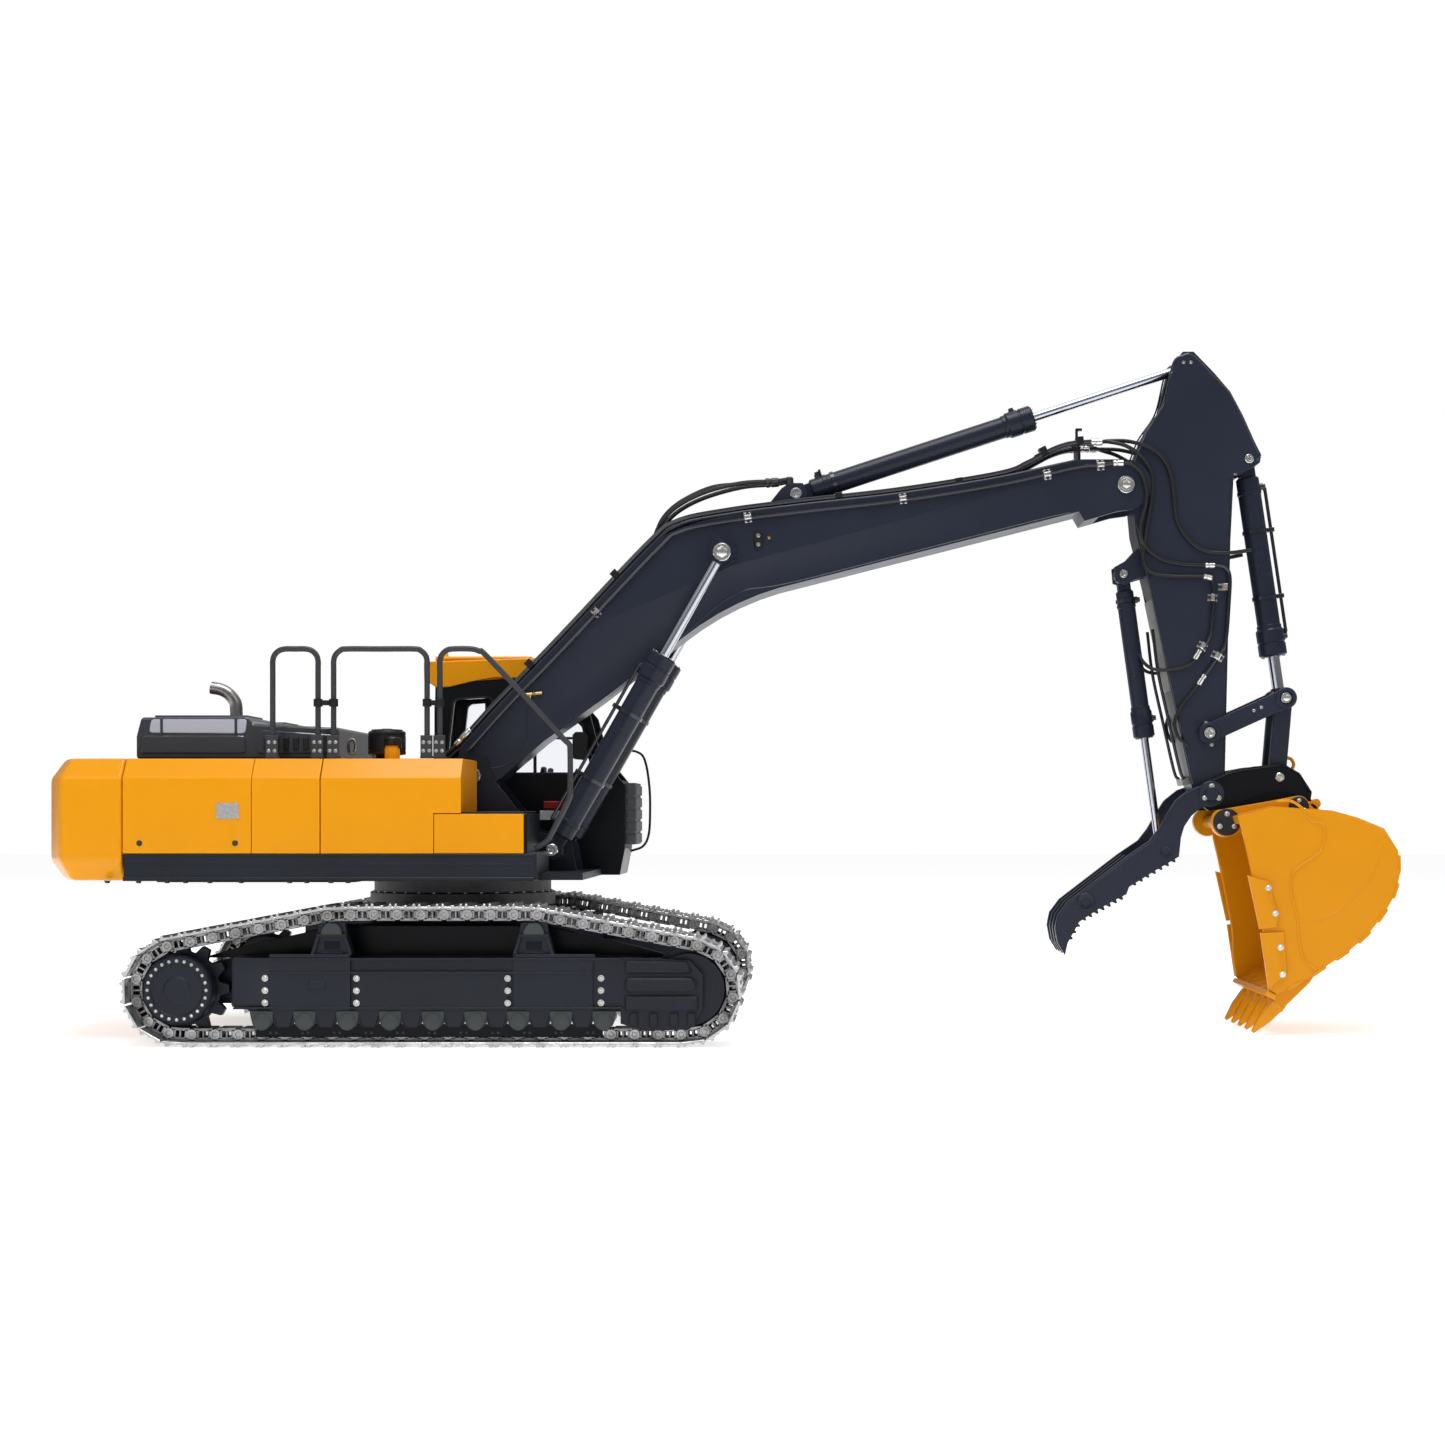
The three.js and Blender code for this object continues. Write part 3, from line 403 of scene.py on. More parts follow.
def make_metal_group():
    """Worked metal: long fine scratches along one axis, blotches of tarnish and a matching roughness."""
    group, inlet, outlet = new_group(
        "Worked metal",
        [("Colour", "Color", (0.6, 0.6, 0.6, 1)), ("Tarnish", "Color", (0.2, 0.18, 0.16, 1)),
         ("Tarnish amount", "Float", 0.3), ("Scratch scale", "Vector", (900.0, 40.0, 900.0)),
         ("Base roughness", "Float", 0.3)],
        [("Colour", "Color"), ("Roughness", "Float"), ("Scratches", "Float")],
    )
    w = Wires(group)
    place = w.node("TexCoord").outputs["Object"]
    stretch = w.node("VectorMath", operation="MULTIPLY")
    w.join(place, stretch.inputs[0])
    w.join(inlet.outputs["Scratch scale"], stretch.inputs[1])
    scratches = w.noise(stretch.outputs[0], 1.0, 3)
    blotch = w.ramp(w.noise(place, 70, 6, 0.65), 0.42, 0.68)
    mask = w.maths("MULTIPLY", blotch, inlet.outputs["Tarnish amount"])
    w.join(w.blend(mask, inlet.outputs["Colour"], inlet.outputs["Tarnish"]), outlet.inputs["Colour"])
    rough = w.maths("ADD", inlet.outputs["Base roughness"], w.ramp(scratches, 0.3, 0.7, -0.05, 0.08))
    w.join(w.maths("ADD", rough, w.maths("MULTIPLY", mask, 0.35)), outlet.inputs["Roughness"])
    w.join(scratches, outlet.inputs["Scratches"])
    return group


def start_material(name):
    material = bpy.data.materials.new(name)
    material.use_nodes = True
    tree = material.node_tree
    return Wires(tree), tree.nodes["Principled BSDF"]


def bump(w, shader, height, strength, distance=0.0002):
    made = w.node("Bump")
    made.inputs["Strength"].default_value = strength
    made.inputs["Distance"].default_value = distance
    w.join(height, made.inputs["Height"])
    w.join(made.outputs[0], shader.inputs["Normal"])


def painted(name, tint, rough, dust=0.08, drift=0.05, coat=0.0, peel=0.12, dust_colour=(0.5, 0.47, 0.42, 1),
            sheen=0.3):
    """A sprayed finish with its own colour, gloss and dust."""
    w, shader = start_material(name)
    paint = w.node("Group", node_tree=bpy.data.node_groups["Sprayed paint"])
    paint.inputs["Colour"].default_value = (*tint, 1)
    paint.inputs["Dust"].default_value = dust_colour
    paint.inputs["Dust amount"].default_value = dust
    paint.inputs["Drift"].default_value = drift
    paint.inputs["Gloss roughness"].default_value = rough
    w.join(paint.outputs["Colour"], shader.inputs["Base Color"])
    w.join(paint.outputs["Roughness"], shader.inputs["Roughness"])
    shader.inputs["Coat Weight"].default_value = coat
    shader.inputs["Coat Roughness"].default_value = 0.06
    shader.inputs["Specular IOR Level"].default_value = sheen
    bump(w, shader, paint.outputs["Peel"], peel)


def metal(name, tint, rough, tarnish=0.25, tarnish_colour=(0.12, 0.11, 0.1, 1), scratch=(900.0, 40.0, 900.0),
          depth=0.15):
    """A bare or plated metal finish."""
    w, shader = start_material(name)
    worked = w.node("Group", node_tree=bpy.data.node_groups["Worked metal"])
    worked.inputs["Colour"].default_value = (*tint, 1)
    worked.inputs["Tarnish"].default_value = tarnish_colour
    worked.inputs["Tarnish amount"].default_value = tarnish
    worked.inputs["Scratch scale"].default_value = scratch
    worked.inputs["Base roughness"].default_value = rough
    w.join(worked.outputs["Colour"], shader.inputs["Base Color"])
    w.join(worked.outputs["Roughness"], shader.inputs["Roughness"])
    shader.inputs["Metallic"].default_value = 1.0
    bump(w, shader, worked.outputs["Scratches"], depth)


def window_glass(name):
    w, shader = start_material(name)
    place = w.node("TexCoord").outputs["Object"]
    haze = w.ramp(w.noise(place, 25, 4), 0.3, 0.8, 0.02, 0.09)
    w.join(haze, shader.inputs["Roughness"])
    shader.inputs["Base Color"].default_value = (0.94, 0.95, 0.97, 1)
    shader.inputs["Transmission Weight"].default_value = 1.0
    shader.inputs["IOR"].default_value = 1.1
    shader.inputs["Metallic"].default_value = 0.0


def lamp_lens(name, tint, glow=0.0):
    w, shader = start_material(name)
    place = w.node("TexCoord").outputs["Object"]
    ribs = w.node("TexWave")
    w.join(place, ribs.inputs["Vector"])
    ribs.inputs["Scale"].default_value = 600
    shader.inputs["Base Color"].default_value = (*tint, 1)
    shader.inputs["Roughness"].default_value = 0.12
    shader.inputs["Coat Weight"].default_value = 0.6
    shader.inputs["Emission Strength"].default_value = glow
    bump(w, shader, ribs.outputs["Fac"], 0.25)


def make_finishes():
    """Every finish of the machine."""
    make_paint_group()
    make_metal_group()
    c = colours()
    painted("Yellow paint", tuple(c.yellow), 0.22, dust=0.03, drift=0.015, coat=0.08, sheen=0.22)
    painted("Bucket paint", tuple(c.bucket), 0.3, dust=0.04, drift=0.02, coat=0.03, sheen=0.2)
    painted("Navy paint", tuple(c.navy), 0.34, dust=0.06, drift=0.12, peel=0.2, dust_colour=(0.16, 0.17, 0.2, 1))
    painted("Frame paint", tuple(0.6 * v for v in c.navy), 0.42, dust=0.1, drift=0.15, peel=0.25,
            dust_colour=(0.14, 0.14, 0.15, 1))
    painted("Black paint", tuple(c.black), 0.3, dust=0.05, drift=0.1, dust_colour=(0.15, 0.15, 0.16, 1), sheen=0.14)
    painted("Hood gloss", tuple(c.hood), 0.1, dust=0.03, drift=0.06, coat=0.8, peel=0.05,
            dust_colour=(0.2, 0.2, 0.21, 1))
    painted("Rail paint", (0.035, 0.037, 0.042), 0.38, dust=0.05, drift=0.1, dust_colour=(0.2, 0.2, 0.21, 1))
    painted("Grey plastic", (0.07, 0.075, 0.08), 0.45, dust=0.08, drift=0.08, dust_colour=(0.25, 0.25, 0.25, 1))
    painted("Roller cover", (0.045, 0.052, 0.052), 0.45, dust=0.12, drift=0.15, dust_colour=(0.2, 0.19, 0.17, 1))
    painted("Rubber hose", (0.011, 0.0115, 0.013), 0.42, dust=0.06, drift=0.1, peel=0.5,
            dust_colour=(0.12, 0.12, 0.12, 1))
    painted("Grip tape", (0.02, 0.02, 0.022), 0.75, dust=0.15, drift=0.2, peel=1.0, dust_colour=(0.12, 0.12, 0.12, 1))
    painted("Red plastic", (0.45, 0.01, 0.015), 0.3, dust=0.04)
    painted("Chair plastic", (0.03, 0.032, 0.036), 0.6, dust=0.1, drift=0.2, peel=0.8,
            dust_colour=(0.12, 0.12, 0.12, 1))
    painted("Black plastic", (0.009, 0.0095, 0.011), 0.34, dust=0.06, drift=0.1, peel=0.3,
            dust_colour=(0.14, 0.14, 0.14, 1))
    painted("Dark rubber", (0.014, 0.015, 0.018), 0.5, dust=0.08, drift=0.1, peel=0.5,
            dust_colour=(0.12, 0.12, 0.12, 1))
    painted("Pipe paint", (0.011, 0.013, 0.02), 0.16, dust=0.04, drift=0.1, peel=0.08,
            dust_colour=(0.14, 0.14, 0.15, 1), sheen=0.55)
    painted("Cylinder paint", (0.014, 0.0175, 0.03), 0.28, dust=0.05, drift=0.1, peel=0.2,
            dust_colour=(0.15, 0.16, 0.18, 1), sheen=0.2)
    painted("Battery wrap", (0.02, 0.09, 0.3), 0.3, dust=0.05)
    metal("Shoe steel", tuple(c.steel), 0.28, tarnish=0.5, tarnish_colour=(0.2, 0.19, 0.18, 1))
    metal("Link steel", (0.36, 0.36, 0.37), 0.32, tarnish=0.6, tarnish_colour=(0.09, 0.085, 0.08, 1))
    metal("Track pin steel", (0.42, 0.42, 0.43), 0.28, tarnish=0.5)
    metal("Pin steel", (0.55, 0.55, 0.54), 0.24, tarnish=0.2)
    metal("Chromed rod", (0.5, 0.52, 0.58), 0.09, tarnish=0.04, scratch=(60.0, 900.0, 60.0), depth=0.04)
    metal("Bright steel", (0.68, 0.68, 0.67), 0.2, tarnish=0.1)
    metal("Dark steel", (0.06, 0.06, 0.065), 0.4, tarnish=0.4)
    metal("Exhaust steel", (0.3, 0.29, 0.28), 0.22, tarnish=0.3, scratch=(400.0, 400.0, 60.0))
    metal("Brass", (0.72, 0.48, 0.2), 0.22, tarnish=0.25)
    # Worn steel also colours a thin strip on the arm that is a painted highlight.
    metal("Worn steel", (0.3, 0.3, 0.29), 0.35, tarnish=0.5)
    window_glass("Window glass")
    painted("Smoked window", (0.4, 0.42, 0.49), 0.08, dust=0.02, drift=0.04, coat=0.6, peel=0.02)
    lamp_lens("Amber lens", (0.9, 0.35, 0.02))
    lamp_lens("Clear lens", (0.8, 0.82, 0.85))
    lamp_lens("Red lens", (0.5, 0.01, 0.01))


# ---------------------------------------------------------------- crawler tracks


def chain_pins(count, shift=0.0):
    """Pins evenly spaced along the closed chain: position, and the chord to the next pin as t and outward n."""
    wheel = PIVOTS["idler_right_spin"] - (AXIS_X, 0, 0)
    carrier = PIVOTS["carrier_front_right_spin"][0] - AXIS_X
    r = sizes().pin_radius
    top = 0.0913
    low = wheel[2] - r
    run, rise = wheel[0] - carrier, top - wheel[2]
    slope = np.degrees(np.arctan2(rise, run) - np.arcsin(r / np.hypot(run, rise)))
    front = arc((wheel[0], wheel[2]), r, -90, 90 - slope, 200)
    rear = arc((-wheel[0], wheel[2]), r, 90 + slope, 270, 200)
    loop = np.concatenate([[(-wheel[0], low)], front, [(carrier, top), (-carrier, top)], rear])
    length = np.concatenate([[0], np.cumsum(np.linalg.norm(np.diff(loop, axis=0), axis=1))])
    s = (np.arange(count) + 0.5 + shift) / count * length[-1]
    pins = np.stack([np.interp(s % length[-1], length, loop[:, k]) for k in (0, 1)], 1)
    chord = np.roll(pins, -1, 0) - pins
    t = chord / np.linalg.norm(chord, axis=1)[:, None]
    return pins, t, np.stack([t[:, 1], -t[:, 0]], 1), np.linalg.norm(chord, axis=1).mean()


def along_chain(part, y, pins, t, n, pitch):
    """A part drawn as (along, across, outward) about the middle of a link, set on every link."""
    points, faces = part
    middle = pins + t * pitch / 2
    x = middle[:, None, 0] + points[None, :, 0] * t[:, None, 0] + points[None, :, 2] * n[:, None, 0]
    z = middle[:, None, 1] + points[None, :, 0] * t[:, None, 1] + points[None, :, 2] * n[:, None, 1]
    across = np.broadcast_to(points[None, :, 1] + y, x.shape)
    placed = np.stack([x + AXIS_X, across, z], -1)
    return [(placed[i], faces) for i in range(len(pins))]


def shoe_part(half):
    """Shoe: a plate whose ends turn up into two grousers with sharp tips."""
    profile = [
        (-8.4, 4.3), (8.1, 4.3), (8.9, 5.2), (8.3, 6.0), (7.4, 8.0), (6.2, 8.0), (5.4, 6.2), (1.2, 5.9), (0.8, 6.9),
        (-0.8, 6.9), (-1.2, 5.9), (-4.2, 6.2), (-5.0, 8.0), (-6.2, 8.0), (-7.0, 6.1), (-8.8, 5.4),
    ]
    return slab(np.array(profile) * MM, -half, half, 0.0003)


def link_parts():
    """One side of a link: rail and web bars between two slots; the boss round each pin is drawn by pin_part."""
    bars = []
    for low, high in [((-6.5, -4.4), (6.5, -2.1)), ((-6.5, 2.2), (6.5, 4.3)), ((-0.75, -2.4), (0.75, 2.4)),
                      ((-5.6, -3.6), (-3.1, 3.6)), ((3.1, -3.6), (5.6, 3.6))]:
        bars.append(slab(np.array([low, (high[0], low[1]), high, (low[0], high[1])]) * MM, 0, 0.0042, 0.0003))
    return bars


def pin_part(pitch, length):
    """A pin end: a boss with a dished centre, drawn across the chain at the front pin of the link."""
    points, faces = revolve(np.array([(0, 0.1), (1.6, 0.1), (2.0, 0.6), (3.6, 0.6), (3.9, 0.2), (3.9, -length),
                                      (0, -length)]) * MM, 12)
    return np.stack([points[:, 0] + pitch / 2, points[:, 2], points[:, 1]], 1), faces


class RCX_OT_tracks(bpy.types.Operator):
    """Shoes, link rails and pins of both crawler chains"""

    bl_idname = "excavator.tracks"
    bl_label = "Crawler tracks"

    def execute(self, context):
        pins, t, n, pitch = chain_pins(56)
        for name, _ in SIDES:
            low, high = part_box(f"track_{name}")
            y, half = (low[1] + high[1]) / 2, (high[1] - low[1]) / 2
            shoes = along_chain(shoe_part(half), y, pins, t, n, pitch)
            build(f"shoes_{name}", shoes, "Shoe steel", BODY_OF[f"track_{name}"], (f"track_{name}",), 25)
            rails, ends = [], []
            for outward in (-1, 1):
                for bar in link_parts():
                    points = bar[0] * (1, outward, 1) + (0, outward * 0.0055, 0)
                    rails += along_chain((points, bar[1]), y, pins, t, n, pitch)
                cap = pin_part(pitch, 5.6)
                points = cap[0] * (1, outward, 1) + (0, outward * 0.0098, 0)
                ends += along_chain((points, cap[1]), y, pins, t, n, pitch)
                foot = bolt(0.001, 0.0006)
                for along in (-3.0, 3.0):
                    points = foot[0] + (along * 0.001, outward * 0.0135, 0.0062)
                    ends += along_chain((points, foot[1]), y, pins, t, n, pitch)
            build(f"links_{name}", rails, "Link steel", BODY_OF[f"track_{name}"], (), 25)
            build(f"link_pins_{name}", ends, "Track pin steel", BODY_OF[f"track_{name}"], (), 30)
        return {"FINISHED"}


# ---------------------------------------------------------------- shapes in millimetres from the slew axis


def plate(outline, low, high, edge=0.4):
    """An x-z outline carried along y between two heights, with broken edges."""
    return slab(np.asarray(outline, float) * 0.001 + (AXIS_X, 0), low * 0.001, high * 0.001, edge * 0.001)


def cube(x0, x1, y0, y1, z0, z1, edge=0.4):
    return plate([(x0, z0), (x1, z0), (x1, z1), (x0, z1)], y0, y1, edge)


def tilted(x, z, wide, high, angle, y0, y1, edge=0.3):
    """A rectangle about (x, z), turned in its plane, carried along y."""
    corners = np.array([(-wide, -high), (wide, -high), (wide, high), (-wide, high)]) / 2
    c, s = np.cos(radians(angle)), np.sin(radians(angle))
    return plate(corners @ np.array([(c, s), (-s, c)]) + (x, z), y0, y1, edge)


def layer(side, near, far):
    """The two y values, low first, of a layer on one side of the centre plane."""
    return min(side * near, side * far), max(side * near, side * far)


def turned(profile, origin, axis, sides=28):
    """A profile of (radius, height) in millimetres, turned about an axis through the origin."""
    return seat(revolve(np.asarray(profile, float) * 0.001, sides), at(origin), axis)


def studs(places, y, side, radius=1.4, height=None):
    """Bolt heads at x-z places on a face that looks sideways."""
    head = bolt(radius * 0.001, height and height * 0.001)
    return [seat(head, at((x, y, z)), (0, side, 0)) for x, z in places]


def pin_cap(place, y, side, radius, bolts=0, proud=1.6):
    """A turned cap on a pin end: a chamfered disc with a dished centre, and bolts round it."""
    x, z = place
    parts = [turned([(0, proud - 0.4), (0.45 * radius, proud - 0.4), (0.55 * radius, proud), (radius - 0.5, proud),
                     (radius, proud - 0.5), (radius, -0.6), (0, -0.6)], (x, y, z), (0, side, 0))]
    angle = np.arange(bolts) * 2 * pi / max(bolts, 1) + pi / 2
    ring = np.stack([x + 0.62 * radius * np.cos(angle), z + 0.62 * radius * np.sin(angle)], 1)
    return parts, studs(ring, y + side * proud, side, min(1.5, 0.17 * radius), 1.0) if bolts else []


def run(points, radius, count=70, sides=10):
    """A hose or pipe: a circle carried along a smooth curve through points in millimetres."""
    return tube(spline(at(points), count), radius * 0.001, sides)


def beside(points, y):
    """x-z points given a y."""
    return [(x, y, z) for x, z in points]


def ferrule(start, end, radius):
    """A crimped hose end: a stepped profile turned about the line from start to end."""
    start, end = np.asarray(start, float), np.asarray(end, float)
    long = float(np.linalg.norm(end - start))
    profile = [(0, 0), (radius * 0.8, 0), (radius, 0.06 * long), (radius, 0.28 * long),
               (radius * 0.82, 0.32 * long), (radius * 0.82, 0.4 * long), (radius, 0.45 * long),
               (radius, 0.94 * long), (radius * 0.75, long), (0, long)]
    return turned(profile, start, end - start, 12)


def pipe_clamp(x, z, angle, y, side, wide=5.5, high=7.5):
    """A saddle clamp: a bent strap on its foot, with two bolts along its length."""
    c, s = np.cos(radians(angle)), np.sin(radians(angle))
    strap = [tilted(x, z, wide, high, angle, *layer(side, abs(y) - 0.2, abs(y) + 1.0)),
             tilted(x, z, wide, high * 0.45, angle, *layer(side, abs(y) + 0.6, abs(y) + 4.3), 0.8)]
    ends = [(x - s * 0.34 * high * k, z + c * 0.34 * high * k) for k in (-1, 1)]
    return strap, studs(ends, y + side * 1.0, side, 0.95, 0.9)


# ---------------------------------------------------------------- undercarriage


class RCX_OT_running_gear(bpy.types.Operator):
    """Roller covers, carrier rollers, sprocket drums, idler covers and frame bolts"""

    bl_idname = "excavator.running_gear"
    bl_label = "Running gear"

    def execute(self, context):
        for name, side in SIDES:
            root = BODY_OF[f"track_frame_{name}"]
            covers, guards, screws = [], [], []
            for i in range(9):
                x = (i - 4) * 29.6
                cover = rounded([(x - 9, 25.5), (x - 6.2, 13.6), (x + 6.2, 13.6), (x + 9, 25.5)], 2.5, 4)
                covers.append(plate(cover, *layer(side, 133.4, 138.2), 0.9))
                covers.append(turned([(0, 1.0), (3.2, 1.0), (5.2, 0.6), (6.0, 0), (6.0, -2), (0, -2)],
                                     (x, side * 138.6, 17.4), (0, side, 0), 24))
                covers.append(turned([(5, -10.5), (7, -10), (7, -5), (5.4, -4.5), (5.4, 4.5), (7, 5), (7, 10),
                                      (5, 10.5)], (x, side * 121.5, 19.8), (0, side, 0), 24))
            for i in range(8):
                x = (i - 3.5) * 29.6
                guards.append(plate([(x - 8.5, 27), (x - 4.4, 13.4), (x + 4.4, 13.4), (x + 8.5, 27)],
                                    *layer(side, 136.4, 138), 0.5))
            build(f"roller_covers_{name}", covers, "Roller cover", root)
            columns = [(x, z) for x in (-116.4, -52.6, 52.1, 116.5) for z in (47.5, 39, 30.5)]
            out = [139 if -113 < x < 111 else 137 for x, _ in columns]
            for (x, z), y in zip(columns, out):
                screws += studs([(x, z)], side * y, side, 1.7, 1.3)
            build(f"frame_bolts_{name}", screws, "Pin steel", root)
            ribs = [plate(rounded([(133, 50.5), (180, 50.5), (177, 59), (133, 60)], 2), *layer(side, 136.5, 139.6),
                          1.2), plate(rounded([(133, 38), (180, 38), (184, 43), (180, 48), (133, 48)], 4, 6),
                                      *layer(side, 136.5, 140.4), 1.4),
                    plate(rounded([(133, 25), (184, 25), (184, 35.5), (133, 35.5)], 2), *layer(side, 136.5, 139.6),
                          1.2)]
            ribs += [plate(rounded([(x - 3, 14), (x + 3, 14), (x + 3, 23.5), (x - 3, 23.5)], 1.5),
                           *layer(side, 136.5, 139), 0.8) for x in (139, 153, 167, 179)]
            ribs += [cube(-138, 131, *layer(side, 134, 140), 60, 61.6, 0.3),
                     cube(-138, 131, *layer(side, 134, 139.8), 26.2, 27.6, 0.3),
                     cube(-113, 111, *layer(side, 138.6, 140), 50.6, 52.2, 0.3),
                     cube(-86, -74, *layer(side, 138.6, 139.8), 40, 46, 0.5)]
            for x in (-85, 85):
                ribs.append(cube(x - 27.5, x + 27.5, *layer(side, 138.6, 139.9), 62, 64.4, 0.3))
            for x in (-70, 70):
                for k in (-1, 1):
                    ribs.append(plate([(x + k * 14.5, 64), (x + k * 12, 64), (x + k * 8.2, 77), (x + k * 10.4, 77)],
                                      *layer(side, 128, 139.5), 0.3))
                ribs.append(cube(x - 10.5, x + 10.5, *layer(side, 130, 139.5), 76, 78.4, 0.4))
                ribs.append(plate([(x - 8.6, 64.6), (x + 8.6, 64.6), (x + 7.4, 66), (x - 7.4, 66)],
                                  *layer(side, 136.4, 138.4), 0.3))
            build(f"frame_ribs_{name}", ribs + guards, "Frame paint", root, (), 30)
            # Painted shade: black plates fill gaps that read dark in shade. They are a sheet above the frame behind
            # the upper run, a strip between the link rails of the lower run, and small squares inside the carrier
            # brackets.
            gap_sheet_outline = [(-168, 60), (168, 60), (140, 68), (74, 82.5), (-74, 82.5), (-140, 68)]
            shade = [plate(gap_sheet_outline, *layer(side, 105.4, 107.6)), plate([(-124, 6.5), (118, 6.5), (116, 15.5),
                                                                     (-122, 15.5)], *layer(side, 132.4, 134.6))]
            shade += [cube(x - 5.5, x + 5.5, *layer(side, 136.2, 136.8), 67.5, 73, 0.2) for x in (-70, 70)]
            build(f"shade_fill_{name}", shade, "Black paint", root)
            ticks = [p for i in range(-5, 6) for p in studs([(i * 22 - 3, 9.5), (i * 22 + 1, 9.5)], side * 134.6,
                                                            side, 0.7, 0.6)]
            build(f"lower_strip_screws_{name}", ticks, "Dark steel", root)
            caps = [plate(rounded([(x - 7.8, 76.5), (x - 6.6, 82), (x - 3.6, 86), (x + 3.6, 86), (x + 6.6, 82),
                                   (x + 7.8, 76.5)], 1.5, 3), *layer(side, 136.6, 139.4), 0.7) for x in (-70, 70)]
            build(f"carrier_caps_{name}", caps, "Roller cover", root)
            for end, x in (("front", 70), ("rear", -70)):
                node = f"carrier_roller_{end}_{name}"
                roller = [turned([(0, 13.5), (2.2, 13.5), (2.6, 13), (2.6, 10.8), (4.9, 10.5), (6.2, 9.7), (6.2, 5),
                                  (5, 4.4), (5, -4.4), (6.2, -5), (6.2, -9.7), (4.9, -10.5), (0, -10.5)],
                                 (x, side * 121.5, 79.5), (0, side, 0), 28)]
                build(f"{node}_shape", roller, "Worn steel", BODY_OF[node], (node,))
            x, z = -177, 39.3
            drum = [turned([(0, 139.4), (8.5, 139.4), (9.5, 138.6), (17.5, 138.6), (18.2, 139.4), (22.6, 139.4),
                            (23.4, 138.6), (24.5, 137), (24.5, 133), (0, 133)], (x, 0, z), (0, side, 0), 56)]
            build(f"sprocket_drum_{name}", drum, "Frame paint", BODY_OF[f"sprocket_{name}"])
            angle = np.arange(24) * pi / 12
            ring = np.stack([x + 20.4 * np.cos(angle), z + 20.4 * np.sin(angle)], 1)
            nuts = studs(ring, side * 139.4, side, 0.85, 0.8)
            build(f"sprocket_bolts_{name}", nuts, "Pin steel", BODY_OF[f"sprocket_{name}"])
        low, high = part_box("slew_ring_lower")
        radius = (high[1] - low[1]) / 2
        ring = at((0, 0, 0)) * (1, 0, 0)
        angle = np.arange(36) * pi / 18
        head = bolt(0.0013)
        bolts = [seat(head, ring + ((radius - 0.003) * np.cos(a), (radius - 0.003) * np.sin(a), high[2] - 0.0003),
                      (0, 0, 1)) for a in angle]
        build("slew_bolts", bolts, "Pin steel", BODY_OF["slew_ring_lower"])
        return {"FINISHED"}


# ---------------------------------------------------------------- house


class RCX_OT_house(bpy.types.Operator):
    """Name plate, skirt ledges, studs, fillers, latches and deck plates"""

    bl_idname = "excavator.house"
    bl_label = "House details"

    def execute(self, context):
        plate_lines = [cube(-154.5, -138.5, -122.5, -121.9, 158, 169, 0.2)]
        plate_lines += [cube(-152.5, -140.5 - 1.5 * (i % 3), -122.8, -122.4, 160 + 1.9 * i, 160.7 + 1.9 * i, 0.1)
                        for i in range(4)]
        build("blank_plate", plate_lines, "Bright steel", BODY_OF["rear_door_right"])
        build("blank_plate_screws", studs([(-153.4, 159), (-139.6, 159), (-153.4, 168), (-139.6, 168)], -122.4, -1,
                                          0.5, 0.4), "Pin steel", BODY_OF["rear_door_right"])
        ledges = []
        for side in (-1, 1):
            last = 68.5 if side < 0 else -34
            ledges += [cube(-219.5, last, *layer(side, 118, 122.3), 131.6, 133.5, 0.3),
                       cube(-219.5, last, *layer(side, 119, 122.9), 114.4, 117.2, 0.5),
                       cube(-219.5, last, *layer(side, 119, 122.2), 125.6, 126.6, 0.2)]
        ledges += [cube(62, 70, -121.3, -46, 116, 134.4, 0.6), cube(-200, -60, -108, 108, 113.2, 114.6, 0.5)]
        build("skirt_ledges", ledges, "Frame paint", BODY_OF["deck_frame"])
        head = bolt(0.0018, 0.0016)
        places = [(x, y, 114.4) for x in (-232, -210, -190, -177, -160, -138, -104, -92, -75, -63, 60)
                  for y in (-117, 117)]
        heads = copies(head, at([p for p in places if not (p[0] > 0 and p[1] > 0)]), (0, 0, -1))
        build("skirt_studs", heads, "Dark steel", BODY_OF["deck_frame"])
        neck = [turned([(0, 0), (5.5, 0), (5.5, 8), (4.9, 9), (4.9, 10.5), (0, 10.5)], (-40, -74, 200.4),
                       (0, 0, 1)), turned([(0, 0), (3.6, 0), (3.6, 1.4), (2.4, 2.2), (2.2, 4.6), (1.4, 5.6),
                                           (0, 5.6)], (-115.3, -84, 200.4), (0, 0, 1))]
        build("fillers", neck, "Yellow paint", BODY_OF["tank_right"])
        cap = [turned([(0, 10.3), (5.4, 10.3), (5.8, 11), (5.8, 15.5), (5, 16.6), (2, 17), (0, 17)],
                      (-40, -74, 200.4), (0, 0, 1)), cube(-36, -33.4, -75.5, -72.5, 209, 216)]
        build("filler_cap", cap, "Black plastic", BODY_OF["tank_right"])
        latches = []
        for x in (-208, -141):
            latches += [turned([(0, 0.5), (1.6, 0.5), (2.1, 0.1), (2.1, -0.5), (0, -0.5)], (x, -122.1, 141),
                               (0, -1, 0), 20)]
        build("door_locks", latches, "Dark steel", BODY_OF["rear_door_right"])
        left = [turned([(0, 0.5), (1.6, 0.5), (2.1, 0.1), (2.1, -0.5), (0, -0.5)], (x, 122.1, 141), (0, 1, 0), 20)
                for x in (-208, -48)]
        build("left_door_locks", left, "Dark steel", BODY_OF["door_left"])
        treads = [cube(-8 + 8 * i, -4 + 8 * i, -118, -50, 161.4, 162.4, 0.3) for i in range(1, 8)]
        build("toolbox_treads", treads, "Grip tape", BODY_OF["toolbox_right"])
        step = [cube(17.5, 60.5, -48.5, -46.2, 161.4, 163.5, 0.4), cube(17.2, 60.5, -121.2, -119.2, 161.4, 163, 0.4)]
        build("toolbox_edges", step, "Black paint", BODY_OF["toolbox_right"])
        build("toolbox_nose", [cube(60.7, 63.2, -121.7, -46, 133.9, 161.9, 0.8)], "Black paint",
              BODY_OF["toolbox_right"])
        return {"FINISHED"}


